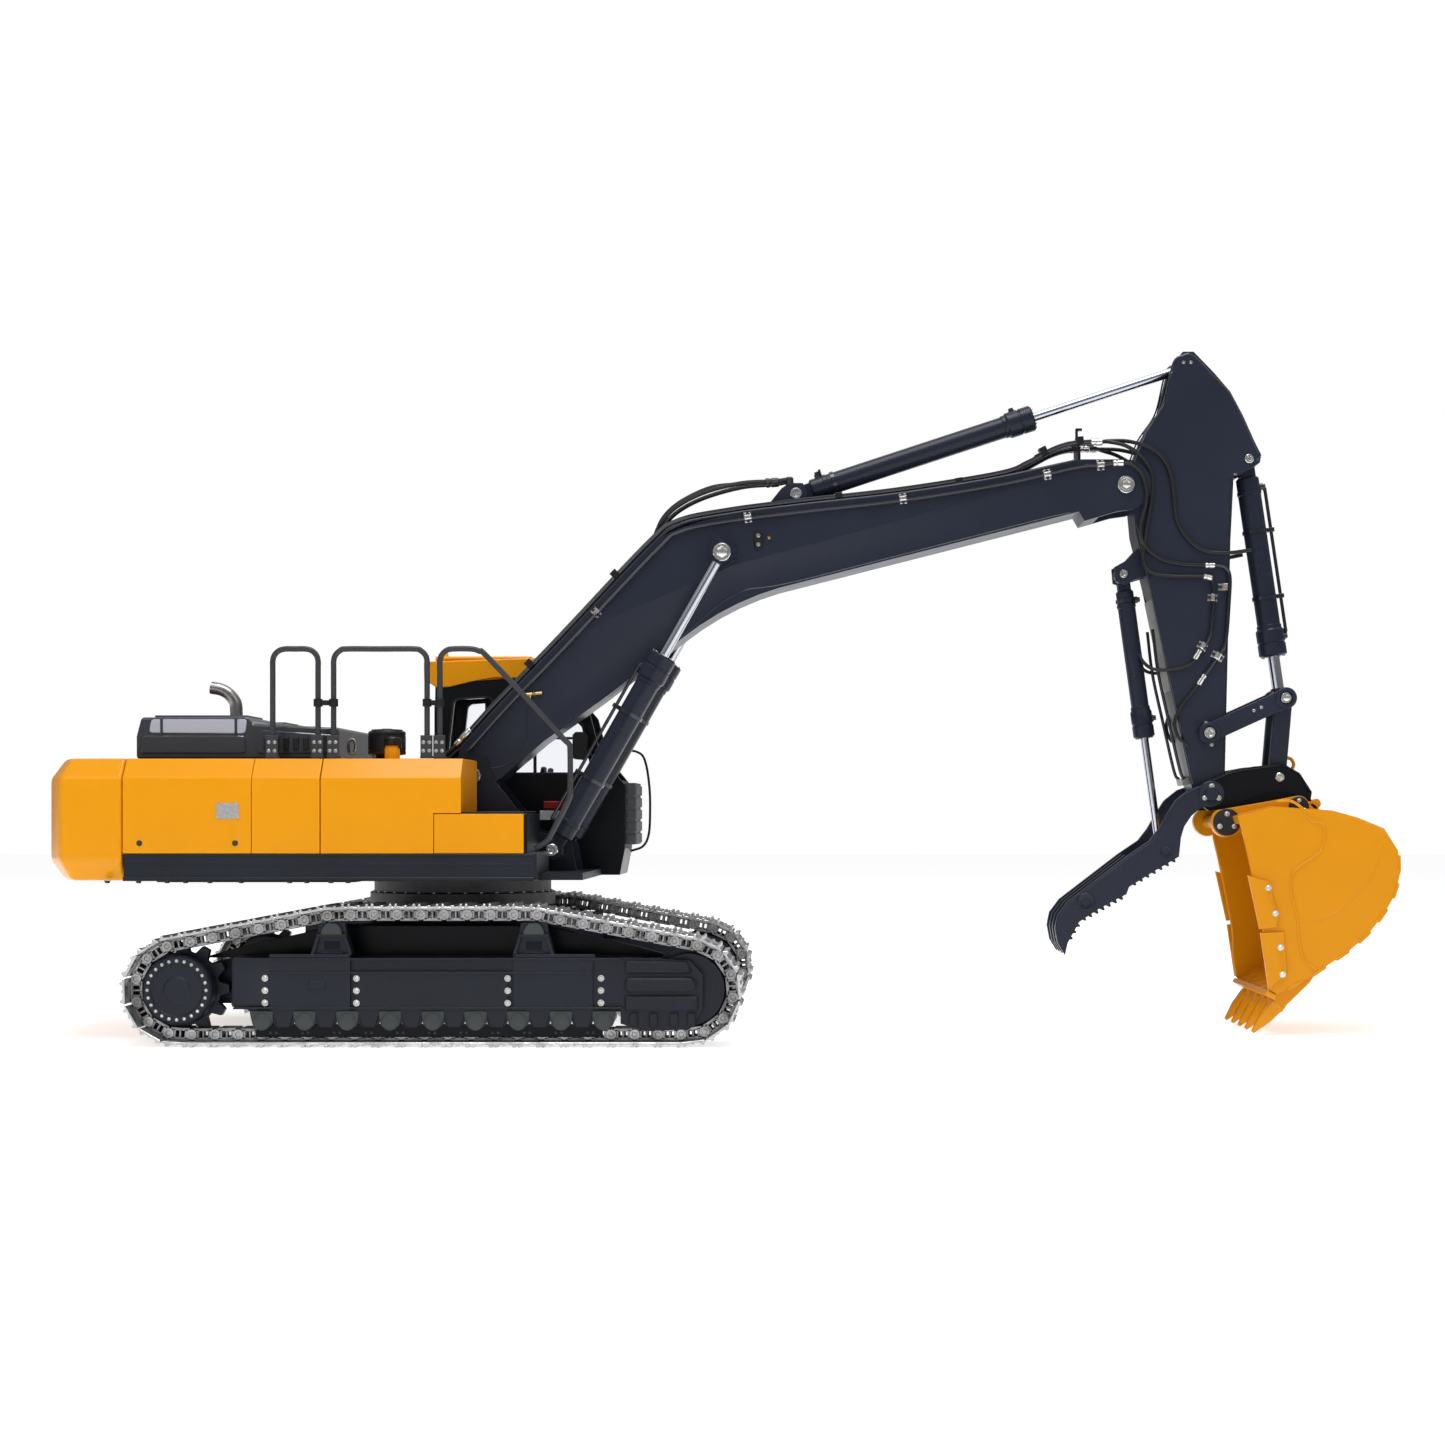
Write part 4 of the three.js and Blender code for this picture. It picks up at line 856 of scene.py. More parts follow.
class RCX_OT_hood(bpy.types.Operator):
    """Hood windows, frames, vents and hinges, the exhaust pipe and the air pre-cleaner"""

    bl_idname = "excavator.hood"
    bl_label = "Hood and exhaust"

    def execute(self, context):
        body = BODY_OF["engine_hood"]
        panes, trims, vents = [], [], []
        for side in (-1, 1):
            panes.append(plate(rounded([(-210, 219.5), (-141.5, 219), (-140, 229), (-208.5, 229)], 2.5),
                               *layer(side, 91.6, 92.6), 0.4))
            trims.append(plate(rounded([(-216, 204.5), (-140.5, 204.5), (-141.5, 217.5), (-214.5, 217.5)], 3),
                               *layer(side, 91.4, 93.2), 0.8))
            trims.append(plate(rounded([(-133, 204.5), (-78, 204.5), (-78, 218), (-131, 221.5)], 3),
                               *layer(side, 91.4, 93), 0.7))
            vents += [cube(-128 + 7 * i, -124 + 7 * i, *layer(side, 92.6, 93.9), 207, 216, 0.4) for i in range(6)]
            trims += [plate([(x - 1, 218), (x + 1, 218), (x + 1, 230), (x - 1, 230)], *layer(side, 91.8, 93), 0.3)
                      for x in (-201, -148)]
        build("hood_windows", panes, "Smoked window", body)
        build("hood_trims", trims, "Hood gloss", body)
        build("hood_vents", vents, "Black plastic", body)
        tops = [cube(-209, -143, y - 24, y + 24, 230.4, 232.4, 1.0) for y in (-58, 58)]
        tops += [cube(-130 + 13 * i, -122 + 13 * i, -62, 62, 224.6 - 0.7 * i, 226.6 - 0.7 * i, 0.6) for i in range(4)]
        tops += [turned([(0, 0), (9, 0), (9, 2.4), (8, 3.4), (0, 3.4)], (-174, 10, 230), (0, 0, 1), 32)]
        build("hood_covers", tops, "Hood gloss", body)
        hinges = [turned([(0, -5), (1.6, -5), (1.6, 5), (0, 5)], (-219.2, y, 202.6), (0, 1, 0), 12)
                  for y in (-70, 0, 70)]
        handle = [run([(-78, y, 216), (-74, y, 216), (-72.5, y, 213), (-72.5, y, 209), (-74, y, 206),
                       (-78, y, 206)], 1.1) for y in (-45, 45)]
        build("hood_hardware", hinges + handle, "Pin steel", body)
        path = spline(at([(-174, 10, 231), (-174, 10, 240), (-175, 10, 246.5), (-179.5, 10, 252.5),
                          (-185.5, 10, 256), (-193, 10, 257.5)]), 40)
        _, side, normal = frames(path)
        angle = np.arange(28) * 2 * pi / 28
        ring = np.cos(angle)[None, :, None] * side[:, None] + np.sin(angle)[None, :, None] * normal[:, None]
        radii = np.full(len(path), 4.7)
        inner = (path[::-1, None] + 0.0038 * ring[::-1])[:24]
        outer = path[:, None] + (radii * 0.001)[:, None, None] * ring
        points = np.concatenate([outer, inner]).reshape(-1, 3)
        rows = len(points) // 28
        pipe = (points, [strip(rows, 28), ((rows - 1) * 28 + np.arange(28))[None, :], np.arange(28)[None, :]])
        bands = [turned([(4.9, 0), (5.6, 0.3), (5.6, 2.2), (4.9, 2.5)], (-174, 10, 233), (0, 0, 1), 28)]
        build("exhaust_shape", [pipe] + bands, "Exhaust steel", body, ("exhaust_pipe",))
        bowl = [(0, 0), (8, 0), (8, 3.5), (13.2, 4.2), (13.5, 4.8), (13.5, 6.6), (13.1, 7.0), (13.5, 7.4),
                (13.5, 17.6), (13.1, 18.0), (13.5, 18.4), (13.5, 20), (12.8, 21), (11.5, 21.3), (11, 22.3),
                (4, 22.7), (3.4, 23.0), (0, 23)]
        build("air_precleaner_shape", [turned(bowl, (-46, -62, 200.5), (0, 0, 1), 44)], "Black plastic",
              BODY_OF["air_precleaner"], ("air_precleaner",))
        return {"FINISHED"}


class RCX_OT_handrails(bpy.types.Operator):
    """Bent handrail bars with foot plates, bolts and joining clamps"""

    bl_idname = "excavator.handrails"
    bl_label = "Handrails"

    def execute(self, context):
        y, foot, top, r = -108, 201, 278, sizes().rail * 1000
        arch = lambda a, b: [(a, foot), (a, top - 18), (a, top - 9), (a + 1.2, top - 4.5), (a + 4.5, top - 1.2),
                             (a + 9, top), ((a + b) / 2, top), (b - 9, top), (b - 4.5, top - 1.2),
                             (b - 1.2, top - 4.5), (b, top - 9), (b, top - 18), (b, foot)]
        front = [(0, foot), (0, top - 18), (0, top - 9), (1.2, top - 4.5), (4.5, top - 1.2), (9, top), (22, top),
                 (28, top - 1.6), (32, top - 4), (60, 244.5), (86, 216), (91, 211), (92, 206), (92, 180), (91, 172),
                 (80, 150), (75, 142), (67, 137)]
        rails = {"handrail_rear": arch(-118, -86), "handrail_middle": arch(-75, -9), "handrail_front": front}
        for node, points in rails.items():
            bar = run(beside(points, y), r, 140, 12)
            parts = [bar]
            feet = [x for x, z in points if z == foot]
            for x in feet:
                parts.append(cube(x - 4.5, x + 4.5, y - 3, y + 1.8, 200.8, 202.4, 0.3))
                parts.append(cube(x - 4.2, x + 4.2, y - 3.4, y - 1.6, 201, 217, 0.3))
            build(f"{node}_bar", parts, "Rail paint", BODY_OF[node], (node,))
            heads = [place for x in feet for place in studs([(x - 2.1, 206), (x + 2.1, 206), (x - 2.1, 212),
                                                             (x + 2.1, 212)], y - 3.4, -1, 1.0)]
            build(f"{node}_bolts", heads, "Pin steel", BODY_OF[node])
        joints = []
        for a, b in ((-86, -75), (-9, 0)):
            middle = (a + b) / 2
            for x in (a, b):
                joints.append(turned([(2, -2.8), (3.2, -2.6), (3.2, 2.6), (2, 2.8)], (x, y, 240), (0, 0, 1), 16))
            joints.append(cube(middle - (b - a) / 2 + 2, middle + (b - a) / 2 - 2, y - 1.6, y + 1.6, 238.2, 241.8,
                               0.4))
        build("handrail_clamps", joints, "Black plastic", BODY_OF["handrail_middle"])
        return {"FINISHED"}


# ---------------------------------------------------------------- cab


class RCX_OT_cab(bpy.types.Operator):
    """Panes, seals, lamps, mirror, wiper, guards, and the levers and panels inside"""

    bl_idname = "excavator.cab"
    bl_label = "Cab details"

    def execute(self, context):
        body, leaf = BODY_OF["cab_shell"], BODY_OF["cab_door"]
        rear = [(-19, 206), (14, 206), (14, 252), (-14, 250)]
        side_pane = [(22, 194), (92, 194), (84, 232), (62, 256), (22, 253)]
        door = [(6, 160), (6, 248), (59, 251), (79, 230), (88, 199), (98, 184), (98, 160)]
        panes = [plate(rear, 47.2, 48.2, 0.1), plate(side_pane, 47.2, 48.2, 0.1), plate(rear, 115.4, 116.2, 0.1),
                 plate([(105.5, 186), (106.5, 187), (92, 207), (83.5, 237), (77, 245.5), (76, 244.5), (82.3, 236),
                        (90.8, 206.5)], 54.5, 109.5, 0.1), cube(-31.6, -30.6, 56.5, 107.5, 206.5, 249.5, 0.1)]
        build("cab_panes", panes, "Window glass", body)
        build("door_pane", [plate(door, 119.4, 120.4, 0.1)], "Window glass", leaf)

        def seal(outline, y0, y1, wide=1.6):
            """A frame of one width round an outline: four rings joined into a closed band."""
            loop = np.asarray(rounded(outline, 4, 5), float) * 0.001 + (AXIS_X, 0)
            rings = [(0, y0), (-wide * 0.001, y0), (-wide * 0.001, y1), (0, y1)]
            points = [np.stack([f[:, 0], np.full(len(f), y * 0.001), f[:, 1]], 1) for f,
                      y in ((inset(loop, d), y) for d, y in rings)]
            return np.concatenate(points), [strip(4, len(loop), True)]

        bands = [seal(rear, 45.2, 46.4), seal(side_pane, 45.2, 46.4), seal(rear, 117.6, 118.8)]
        build("cab_seals", bands, "Rubber hose", body)
        build("door_seal", [seal(door, 121, 122)], "Rubber hose", leaf)
        rods = [run([(100, 116, 150), (104, 123.5, 152), (104, 123.5, 176), (100, 121, 180)], 0.9, 30)]
        rods += [cube(88, 97, 121.2, 123, 151.5, 155.5, 0.5), cube(-1.6, 1.4, 120.8, 123, 140, 150, 0.4),
                 cube(-1.6, 1.4, 120.8, 123, 226, 236, 0.4)]
        build("door_hardware", rods, "Black plastic", leaf)
        roof = [cube(-30, 44, 52, 112, 281, 284.4, 1.2), cube(-24, -16, 60, 68, 282, 284, 0.5)]
        skirt = [(-37.6, 266), (-28, 259.8), (-18, 260.2), (0, 264.5), (17, 267.4), (41, 267), (69.5, 269.6),
                 (71.5, 273.8), (50, 282.4), (-37.8, 279.6)]
        roof += [plate(skirt, *ends, 0.5) for ends in ((45.0, 46.2), (117.8, 118.2))]
        build("roof_panel", roof, "Yellow paint", body)
        beacon = [turned([(0, 0), (3.6, 0), (3.6, 1.4), (3.1, 1.6), (3.1, 5.2), (2.6, 6), (0, 6.2)],
                         (-23.5, 56, 281.2), (0, 0, 1), 20)]
        build("beacon", beacon, "Amber lens", body)
        lamps = [turned([(0, 3.2), (3.2, 3.2), (3.8, 2.6), (3.8, 0), (2.6, -2), (0, -2)], (62, y, 277),
                        (1, 0, -0.15), 20) for y in (60, 82, 104)]
        build("cab_lamps", lamps, "Clear lens", body)
        brackets = [run([(60, y, 284), (60, y, 280), (61, y, 277)], 0.9, 12) for y in (60, 82, 104)]
        arm = [run([(104, 47, 190), (100, 42, 196), (92, 36, 208), (84, 34, 214)], 1.1, 30),
               plate(rounded([(79, 204), (90, 203), (90.5, 222), (88, 225), (80.5, 225), (78.5, 222)], 2, 4), 33,
                     36, 0.6)]
        guard = [cube(118.5, 126.5, 52, 112, 139 + 9.4 * i, 146.4 + 9.4 * i, 1.0) for i in range(5)]
        guard += [cube(117.5, 125.4, 52.6, 111.4, 138, 186, 0.6)]
        loop = [run([(97, 115.5, 208), (112, 115.5, 213), (124, 115.5, 211), (129, 115.5, 203), (132, 115.5, 184),
                     (132.6, 115.5, 165), (131.6, 115.5, 146), (127, 115.5, 136), (117, 115.5, 132)], 1.0, 60)]
        wiper = [run([(98, 72, 199), (95, 78, 206), (90, 92, 222), (85.5, 98, 236)], 0.7, 30)]
        mullions = [cube(47, 49.5, 45.6, 47, 194, 255, 0.3), cube(22, 90, 45.6, 47, 219.5, 221.5, 0.3)]
        build("cab_fittings", brackets + arm + loop + wiper + mullions, "Black plastic", body)
        build("front_guard", guard, "Grey plastic", body)
        build("mirror_glass", [cube(78.6, 79.2, 33.6, 35.4, 204.5, 223, 0.1)], "Chromed rod", body)
        levers = []
        for y in (58, 104):
            levers += [run([(52, y, 150), (52, y, 176), (53, y, 192)], 1.1, 20),
                       turned([(0, -1), (2.2, 0), (2.7, 4), (2.2, 8), (0, 9)], (53, y, 190), (0.1, 0, 1), 14),
                       cube(28, 60, y - 6, y + 6, 146, 160, 2.0)]
        levers += [run([(90, y, 128), (86, y, 150), (88, y, 176)], 1.2, 20) for y in (76, 86)]
        levers += [cube(98, 103, 54, 70, 176, 196, 1.5), cube(8, 60, 50, 54, 120, 168, 1.5)]
        build("cab_controls", levers, "Grey plastic", body)
        build("cab_side_tab", [cube(55, 71, 45, 46.4, 166, 171.6, 0.4)], "Red plastic", body)
        build("cab_side_plate", [cube(52, 69, 45, 46.4, 157, 164.4, 0.4)], "Clear lens", body)
        build("cab_screen", [cube(97.4, 98.1, 55.5, 68.5, 178, 194, 0.2)], "Smoked window", body)
        return {"FINISHED"}


# ---------------------------------------------------------------- boom and arm

BOOM_RIDGE = [(-2, 200), (1, 212), (30.5, 245), (75, 291), (142, 362), (163, 378), (200, 386), (254, 393),
              (329, 401.5), (403, 413.5), (459, 426), (488, 427)]
PIPE_ROWS = (-17.2, -12.4, 12.4, 17.2)


def offset_line(line, by):
    """An x-z line moved sideways by a distance, to its left."""
    line = np.asarray(line, float)
    d = np.gradient(line, axis=0)
    d /= np.linalg.norm(d, axis=1)[:, None]
    return line + by * np.stack([-d[:, 1], d[:, 0]], 1)


class RCX_OT_boom(bpy.types.Operator):
    """Pipes, clamps, hoses and pin caps of the boom"""

    bl_idname = "excavator.boom"
    bl_label = "Boom details"

    def execute(self, context):
        body = BODY_OF["boom"]
        pipes, straps, heads, fittings = [], [], [], []
        under = offset_line(BOOM_RIDGE, -6.5)
        for side in (-1, 1):
            pipes.append(run(beside(np.concatenate([under[1:-1], [(477, 421), (490, 423)]]), side * 22.6), 1.6, 130))
            for x, z, angle in ((102.1, 311.5, 45), (215.2, 382.5, 9), (330.7, 396.5, 7), (438.2, 414.5, 10),
                                (477.8, 421.5, 6)):
                strap, bolts = pipe_clamp(x, z, angle, side * 21, side)
                straps += strap
                heads += bolts
            fittings.append(ferrule((487, side * 22.6, 422.6), (495, side * 22.6, 422.8), 2.5))
        for y in PIPE_ROWS:
            ridge = offset_line(BOOM_RIDGE[2:-2], 2.6)
            last = 466 if abs(y) < 15 else 472
            tail = [(424, 424), (443, 434), (457, 438.4), (last, 439.4)]
            pipes.append(run(beside(np.concatenate([[(6, 222), (18, 235.5)], ridge, tail]), y), 1.9, 130))
            fittings.append(ferrule((-3, y, 212.5), (8, y, 224.5), 2.7))
            fittings.append(ferrule((last - 1, y, 439.4), (last + 8, y, 439.6), 2.7))
        build("boom_pipes", pipes, "Pipe paint", body)
        saddles = []
        for x, z, angle, high in ((52, 272, 46, 6.4), (116, 339, 46, 6.4), (283, 398.5, 6, 4.2),
                                  (372.6, 409.5, 9, 4.2), (436, 431, 27, 6.4), (463, 438.6, 4, 6.4)):
            saddles.append(tilted(x, z + high / 4, 5.5, high, angle, -19.4, -10.3))
            saddles.append(tilted(x, z + high / 4, 5.5, high, angle, 10.3, 19.4))
        saddles += [tilted(461, 445.6, 1.6, 8, 0, -16, -11), tilted(462.6, 449.2, 4.6, 1.6, 0, -16, -11),
                    tilted(463, 432, 2, 9, 0, -14, 14)]
        build("pipe_saddles", saddles, "Black plastic", body)
        build("boom_clamps", straps, "Bright steel", body)
        screws = studs([(222.9, 368.9), (222.9, 362.3)], -22.5, -1, 1.2)
        build("boom_clamp_bolts", heads, "Dark steel", body)
        port = [plate(rounded([(219.5, 372), (226, 372), (226.5, 359), (220, 359)], 1.5), -22.6, -20.8, 0.4)]
        build("grease_port", port, "Black plastic", body)
        fittings += [turned([(0, 0), (1.3, 0), (1.3, 2.4), (0.8, 3), (0, 3)], (230.8, -21, 367.4), (0, -1, 0), 12)]
        tee = [turned([(0, 0), (1.8, 0), (1.8, 3), (1.2, 4), (0, 4)], (56, -20.9, 251), (0, -1, 0), 12),
               turned([(0, -6), (1.3, -6), (1.3, 6), (0, 6)], (56, -23.4, 251), (1, 0, 0.1), 12),
               turned([(0, -1), (1.1, -1), (1.1, 5), (0, 5)], (53, -23.4, 249), (-0.3, 0, -1), 12)]
        build("grease_nipple", fittings[-1:] + tee, "Brass", body)
        silver, bolts = [], []
        for side in (-1, 1):
            cap, _ = pin_cap((497, 407), side * 22.4, side, 6.5, 0, 1.4)
            silver += cap
            silver += studs([(497, 407)], side * 23.8, side, 3.2, 1.5)
            cap, ring = pin_cap((196.5, 354.5), side * 39.4, side, 6.6, 0, 2.0)
            silver += cap
            silver += studs([(196.5, 354.5)], side * 41.2, side, 4.2, 2.0)
            cap, ring = pin_cap((251, 402), side * 9.8, side, 4.4, 0, 1.2)
            silver += cap
        build("boom_pin_caps", silver + screws, "Bright steel", body)
        build("boom_fittings", fittings[:-1], "Bright steel", body)
        loops = []
        for y, lift in ((-12.5, 0), (12.5, 0), (-4, 3)):
            loops.append(run([(144, y, 366), (149, y, 378 + lift), (158, y, 389 + lift), (172, y, 398 + lift),
                              (190, y, 405 + lift), (212, y * 0.8, 410), (234, y * 0.6, 411.5),
                              (244, y * 0.5, 413)], 1.7, 70))
        build("arm_cylinder_hoses", loops, "Rubber hose", body)
        ends = [ferrule((228, y * 0.62, 411.3), (238, y * 0.55, 412), 2.5) for y in (-12.5, 12.5)]
        ends += [turned([(0, 0), (3, 0), (3, 5), (2, 6), (0, 6)], (246, y * 0.5, 409), (0, 0, 1), 6)
                 for y in (-12.5, 12.5)]
        build("arm_hose_fittings", ends, "Dark steel", body)
        strips = []
        for side in (-1, 1):
            lower = [(30, 188), (62, 216.5), (106, 248), (166, 294), (206, 325.5), (254, 335.5), (421, 378),
                     (455, 386)]
            strips.append(run(beside(lower, side * 20.8), 0.6, 110, 6))
            strips.append(run(beside(offset_line(BOOM_RIDGE[1:-1], -0.8), side * 20.9), 0.8, 110, 6))
            strips.append(run(beside([(52, 246), (50.5, 230), (49.8, 214.5), (40, 200.5), (22, 195.5), (6, 199)],
                                     side * 20.8), 0.6, 60, 6))
        build("boom_welds", strips, "Navy paint", body)
        foot = [run([(-27, y, 150), (-28, y, 175), (-24, y, 193), (-14, y, 203), (-3, y, 212.5), (1, y, 217)], 1.8,
                    60) for y in PIPE_ROWS]
        for i, hose in enumerate(foot):
            piece = build(f"foot_hose_{i}", [hose], "Rubber hose", None)
            tuple(at((-28, 0, 168)))
            tuple(at((-4, 0, 212)))
            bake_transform(piece)
        return {"FINISHED"}


def bending_hose(name, points, radius, a, b, start, end):
    """A hose along the points, built in place and tied to no body; a and b are not used."""
    piece = build(name, [run(points, radius, 80)], "Rubber hose", None)
    tuple(at(start))
    tuple(at(end))
    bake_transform(piece)


class RCX_OT_arm(bpy.types.Operator):
    """Pipes, clamps, hoses and pin caps of the arm"""

    bl_idname = "excavator.arm"
    bl_label = "Arm details"

    def execute(self, context):
        boom, body = BODY_OF["boom"], BODY_OF["arm"]
        for side in (-1, 1):
            word = "right" if side < 0 else "left"
            y = side * 22.6
            bending_hose(f"elbow_hose_a_{word}", [(494, y, 422.8), (501.8, y * 1.03, 421), (509, y * 1.06, 413),
                                                  (512, y * 1.05, 397), (507.5, y * 0.98, 376), (511, y * 0.9, 362),
                                                  (523, side * 19.6, 352), (539, side * 19.2, 348),
                                                  (559, side * 19.2, 347)], 1.5, boom, body, (497, 0, 425),
                         (511, 0, 372))
            bending_hose(f"elbow_hose_b_{word}", [(479, side * 17.2, 439.6), (486, side * 19, 440),
                                                  (498, side * 20, 439.6), (512, side * 20, 436),
                                                  (523, side * 20, 429), (530, side * 20, 417),
                                                  (533, side * 19.6, 399), (535, side * 19.2, 382),
                                                  (543, side * 19.2, 367.5), (556, side * 19.2, 358),
                                                  (574, side * 19.2, 356.5), (591, side * 15, 359)], 1.5, boom,
                         body, (492, 0, 440), (532, 0, 395))
            bending_hose(f"elbow_hose_c_{word}", [(473, side * 12.4, 439.5), (478, side * 14.2, 440),
                                                  (485, side * 20.4, 439), (498, side * 23, 435),
                                                  (511, side * 21.5, 425), (517, side * 20.5, 408),
                                                  (512, side * 20.5, 372), (510, side * 19.4, 352),
                                                  (516, side * 19.2, 342), (530, side * 19.2, 339.2),
                                                  (560, side * 19.2, 338.8)], 1.5, boom, body, (488, 0, 439),
                         (514, 0, 385))
        pipes, hoses, straps, heads, ends, silver = [], [], [], [], [], []
        for side in (-1, 1):
            y = side * 19.3
            pipes.append(run(beside([(557, 347), (566, 347), (572, 344.5), (574.5, 338), (574, 322), (571.5, 291),
                                     (567, 281), (563, 275), (554, 262.5)], y), 1.6))
            pipes.append(run(beside([(557, 339), (561, 337), (562.5, 331), (562.5, 318), (560.5, 298), (557, 289),
                                     (550.2, 279.6)], y), 1.6))
            hoses.append(run(beside([(554.5, 263.3), (546.5, 252.4), (537, 240), (533.5, 229), (536, 219.5),
                                     (541.5, 214), (544, 212)], side * 19.2), 1.3))
            for x, z, a in ((570.8, 331, 88), (562, 323, 85), (554.5, 287, 60), (565.5, 279.5, 62)):
                strap, bolts = pipe_clamp(x, z, a, side * 17.5, side, 5.2, 9.5 if x > 565 else 7.5)
                straps += strap
                heads += bolts
            ends += [ferrule((556, y, 347), (563.5, y, 347), 2.3), ferrule((555, y, 339), (561.5, y, 337.5), 2.3),
                     ferrule((552.5, y, 284), (548.3, y, 277), 2.3), ferrule((556, y, 265.5), (551, y, 258), 2.3)]
            hoses.append(run([(549, y, 278), (546, y, 273.4), (537, side * 18.8, 270), (526, side * 18.6, 269),
                              (517, side * 15, 270.5), (511.5, side * 9, 276), (509, side * 5, 282)], 1.3))
            pipes.append(run([(518, side * 13, 300), (522, side * 13.5, 268), (530, side * 13.5, 231),
                              (538.5, side * 13.5, 194), (542, side * 13, 188)], 1.2))
            for place, radius, out in (((559, 222), 4.6, 22.4), ((589.5, 427), 3.4, 17.6), ((497, 342), 3.2, 9.6)):
                cap, _ = pin_cap(place, side * out, side, radius, 0, 1.3)
                silver += cap
            silver += studs([(557.3, 229.5), (561.5, 213.5)], side * 17.4, side, 1.1)
            silver += studs([(540.5, 499), (546, 499)], side * 17.4, side, 1.0)
            strips = [(487, 401), (490, 414), (502, 424), (511.5, 446.5), (524.5, 466.5), (532.5, 498), (540, 504),
                      (548, 504), (562.5, 489.5), (574.5, 476.5), (584, 458.5), (592.5, 439.5), (596.5, 430),
                      (595.5, 425)]
            pipes.append(run(beside(strips, side * 17.3), 0.7, 120, 6))
            pipes.append(run(beside([(575.5, 412), (574.5, 365), (573, 295), (570.5, 190)], side * 17.3), 0.7, 60, 6))
            pipes.append(run(beside([(505.5, 378), (515.5, 331), (527, 278), (547.5, 184)], side * 17.3), 0.7, 60, 6))
        build("arm_pipes", pipes, "Pipe paint", body)
        build("arm_hoses", hoses, "Rubber hose", body)
        build("arm_clamps", straps, "Bright steel", body)
        build("arm_clamp_bolts", heads, "Dark steel", body)
        build("arm_fittings", ends + silver, "Bright steel", body)
        # Painted highlight: a thin strip of light steel along the arm's face toward the cab stands in for a streak of
        # light. It is one object with the real wear block.
        highlight_strip = plate([(516.2, 322), (517.6, 322), (531.8, 254), (530.4, 253.8)], -16.5, 16.5, 0.3)
        build("wear_block", [tilted(543.6, 186, 5, 7, -77, -12, 12, 0.6), highlight_strip], "Worn steel", body)
        return {"FINISHED"}


# ---------------------------------------------------------------- cylinders

CYLINDERS = {
    "boom_cylinder_right": ((71.5, 135), (196.5, 354.5), -35, 165, 8.8, 3.7, 8, 4.5),
    "boom_cylinder_left": ((71.5, 135), (196.5, 354.5), 35, 165, 8.8, 3.7, 8, 4.5),
    "arm_cylinder": ((251, 402), (543.5, 498), 0, 188, 8, 3.4, 7.5, 5.5),
    "bucket_cylinder": ((589.5, 427), (616, 248), 0, 148, 8.6, 4.4, 8, 6),
    "thumb_cylinder": ((497, 342), (525.5, 133.5), 0, 124, 6.6, 3, 6.5, 5),
}


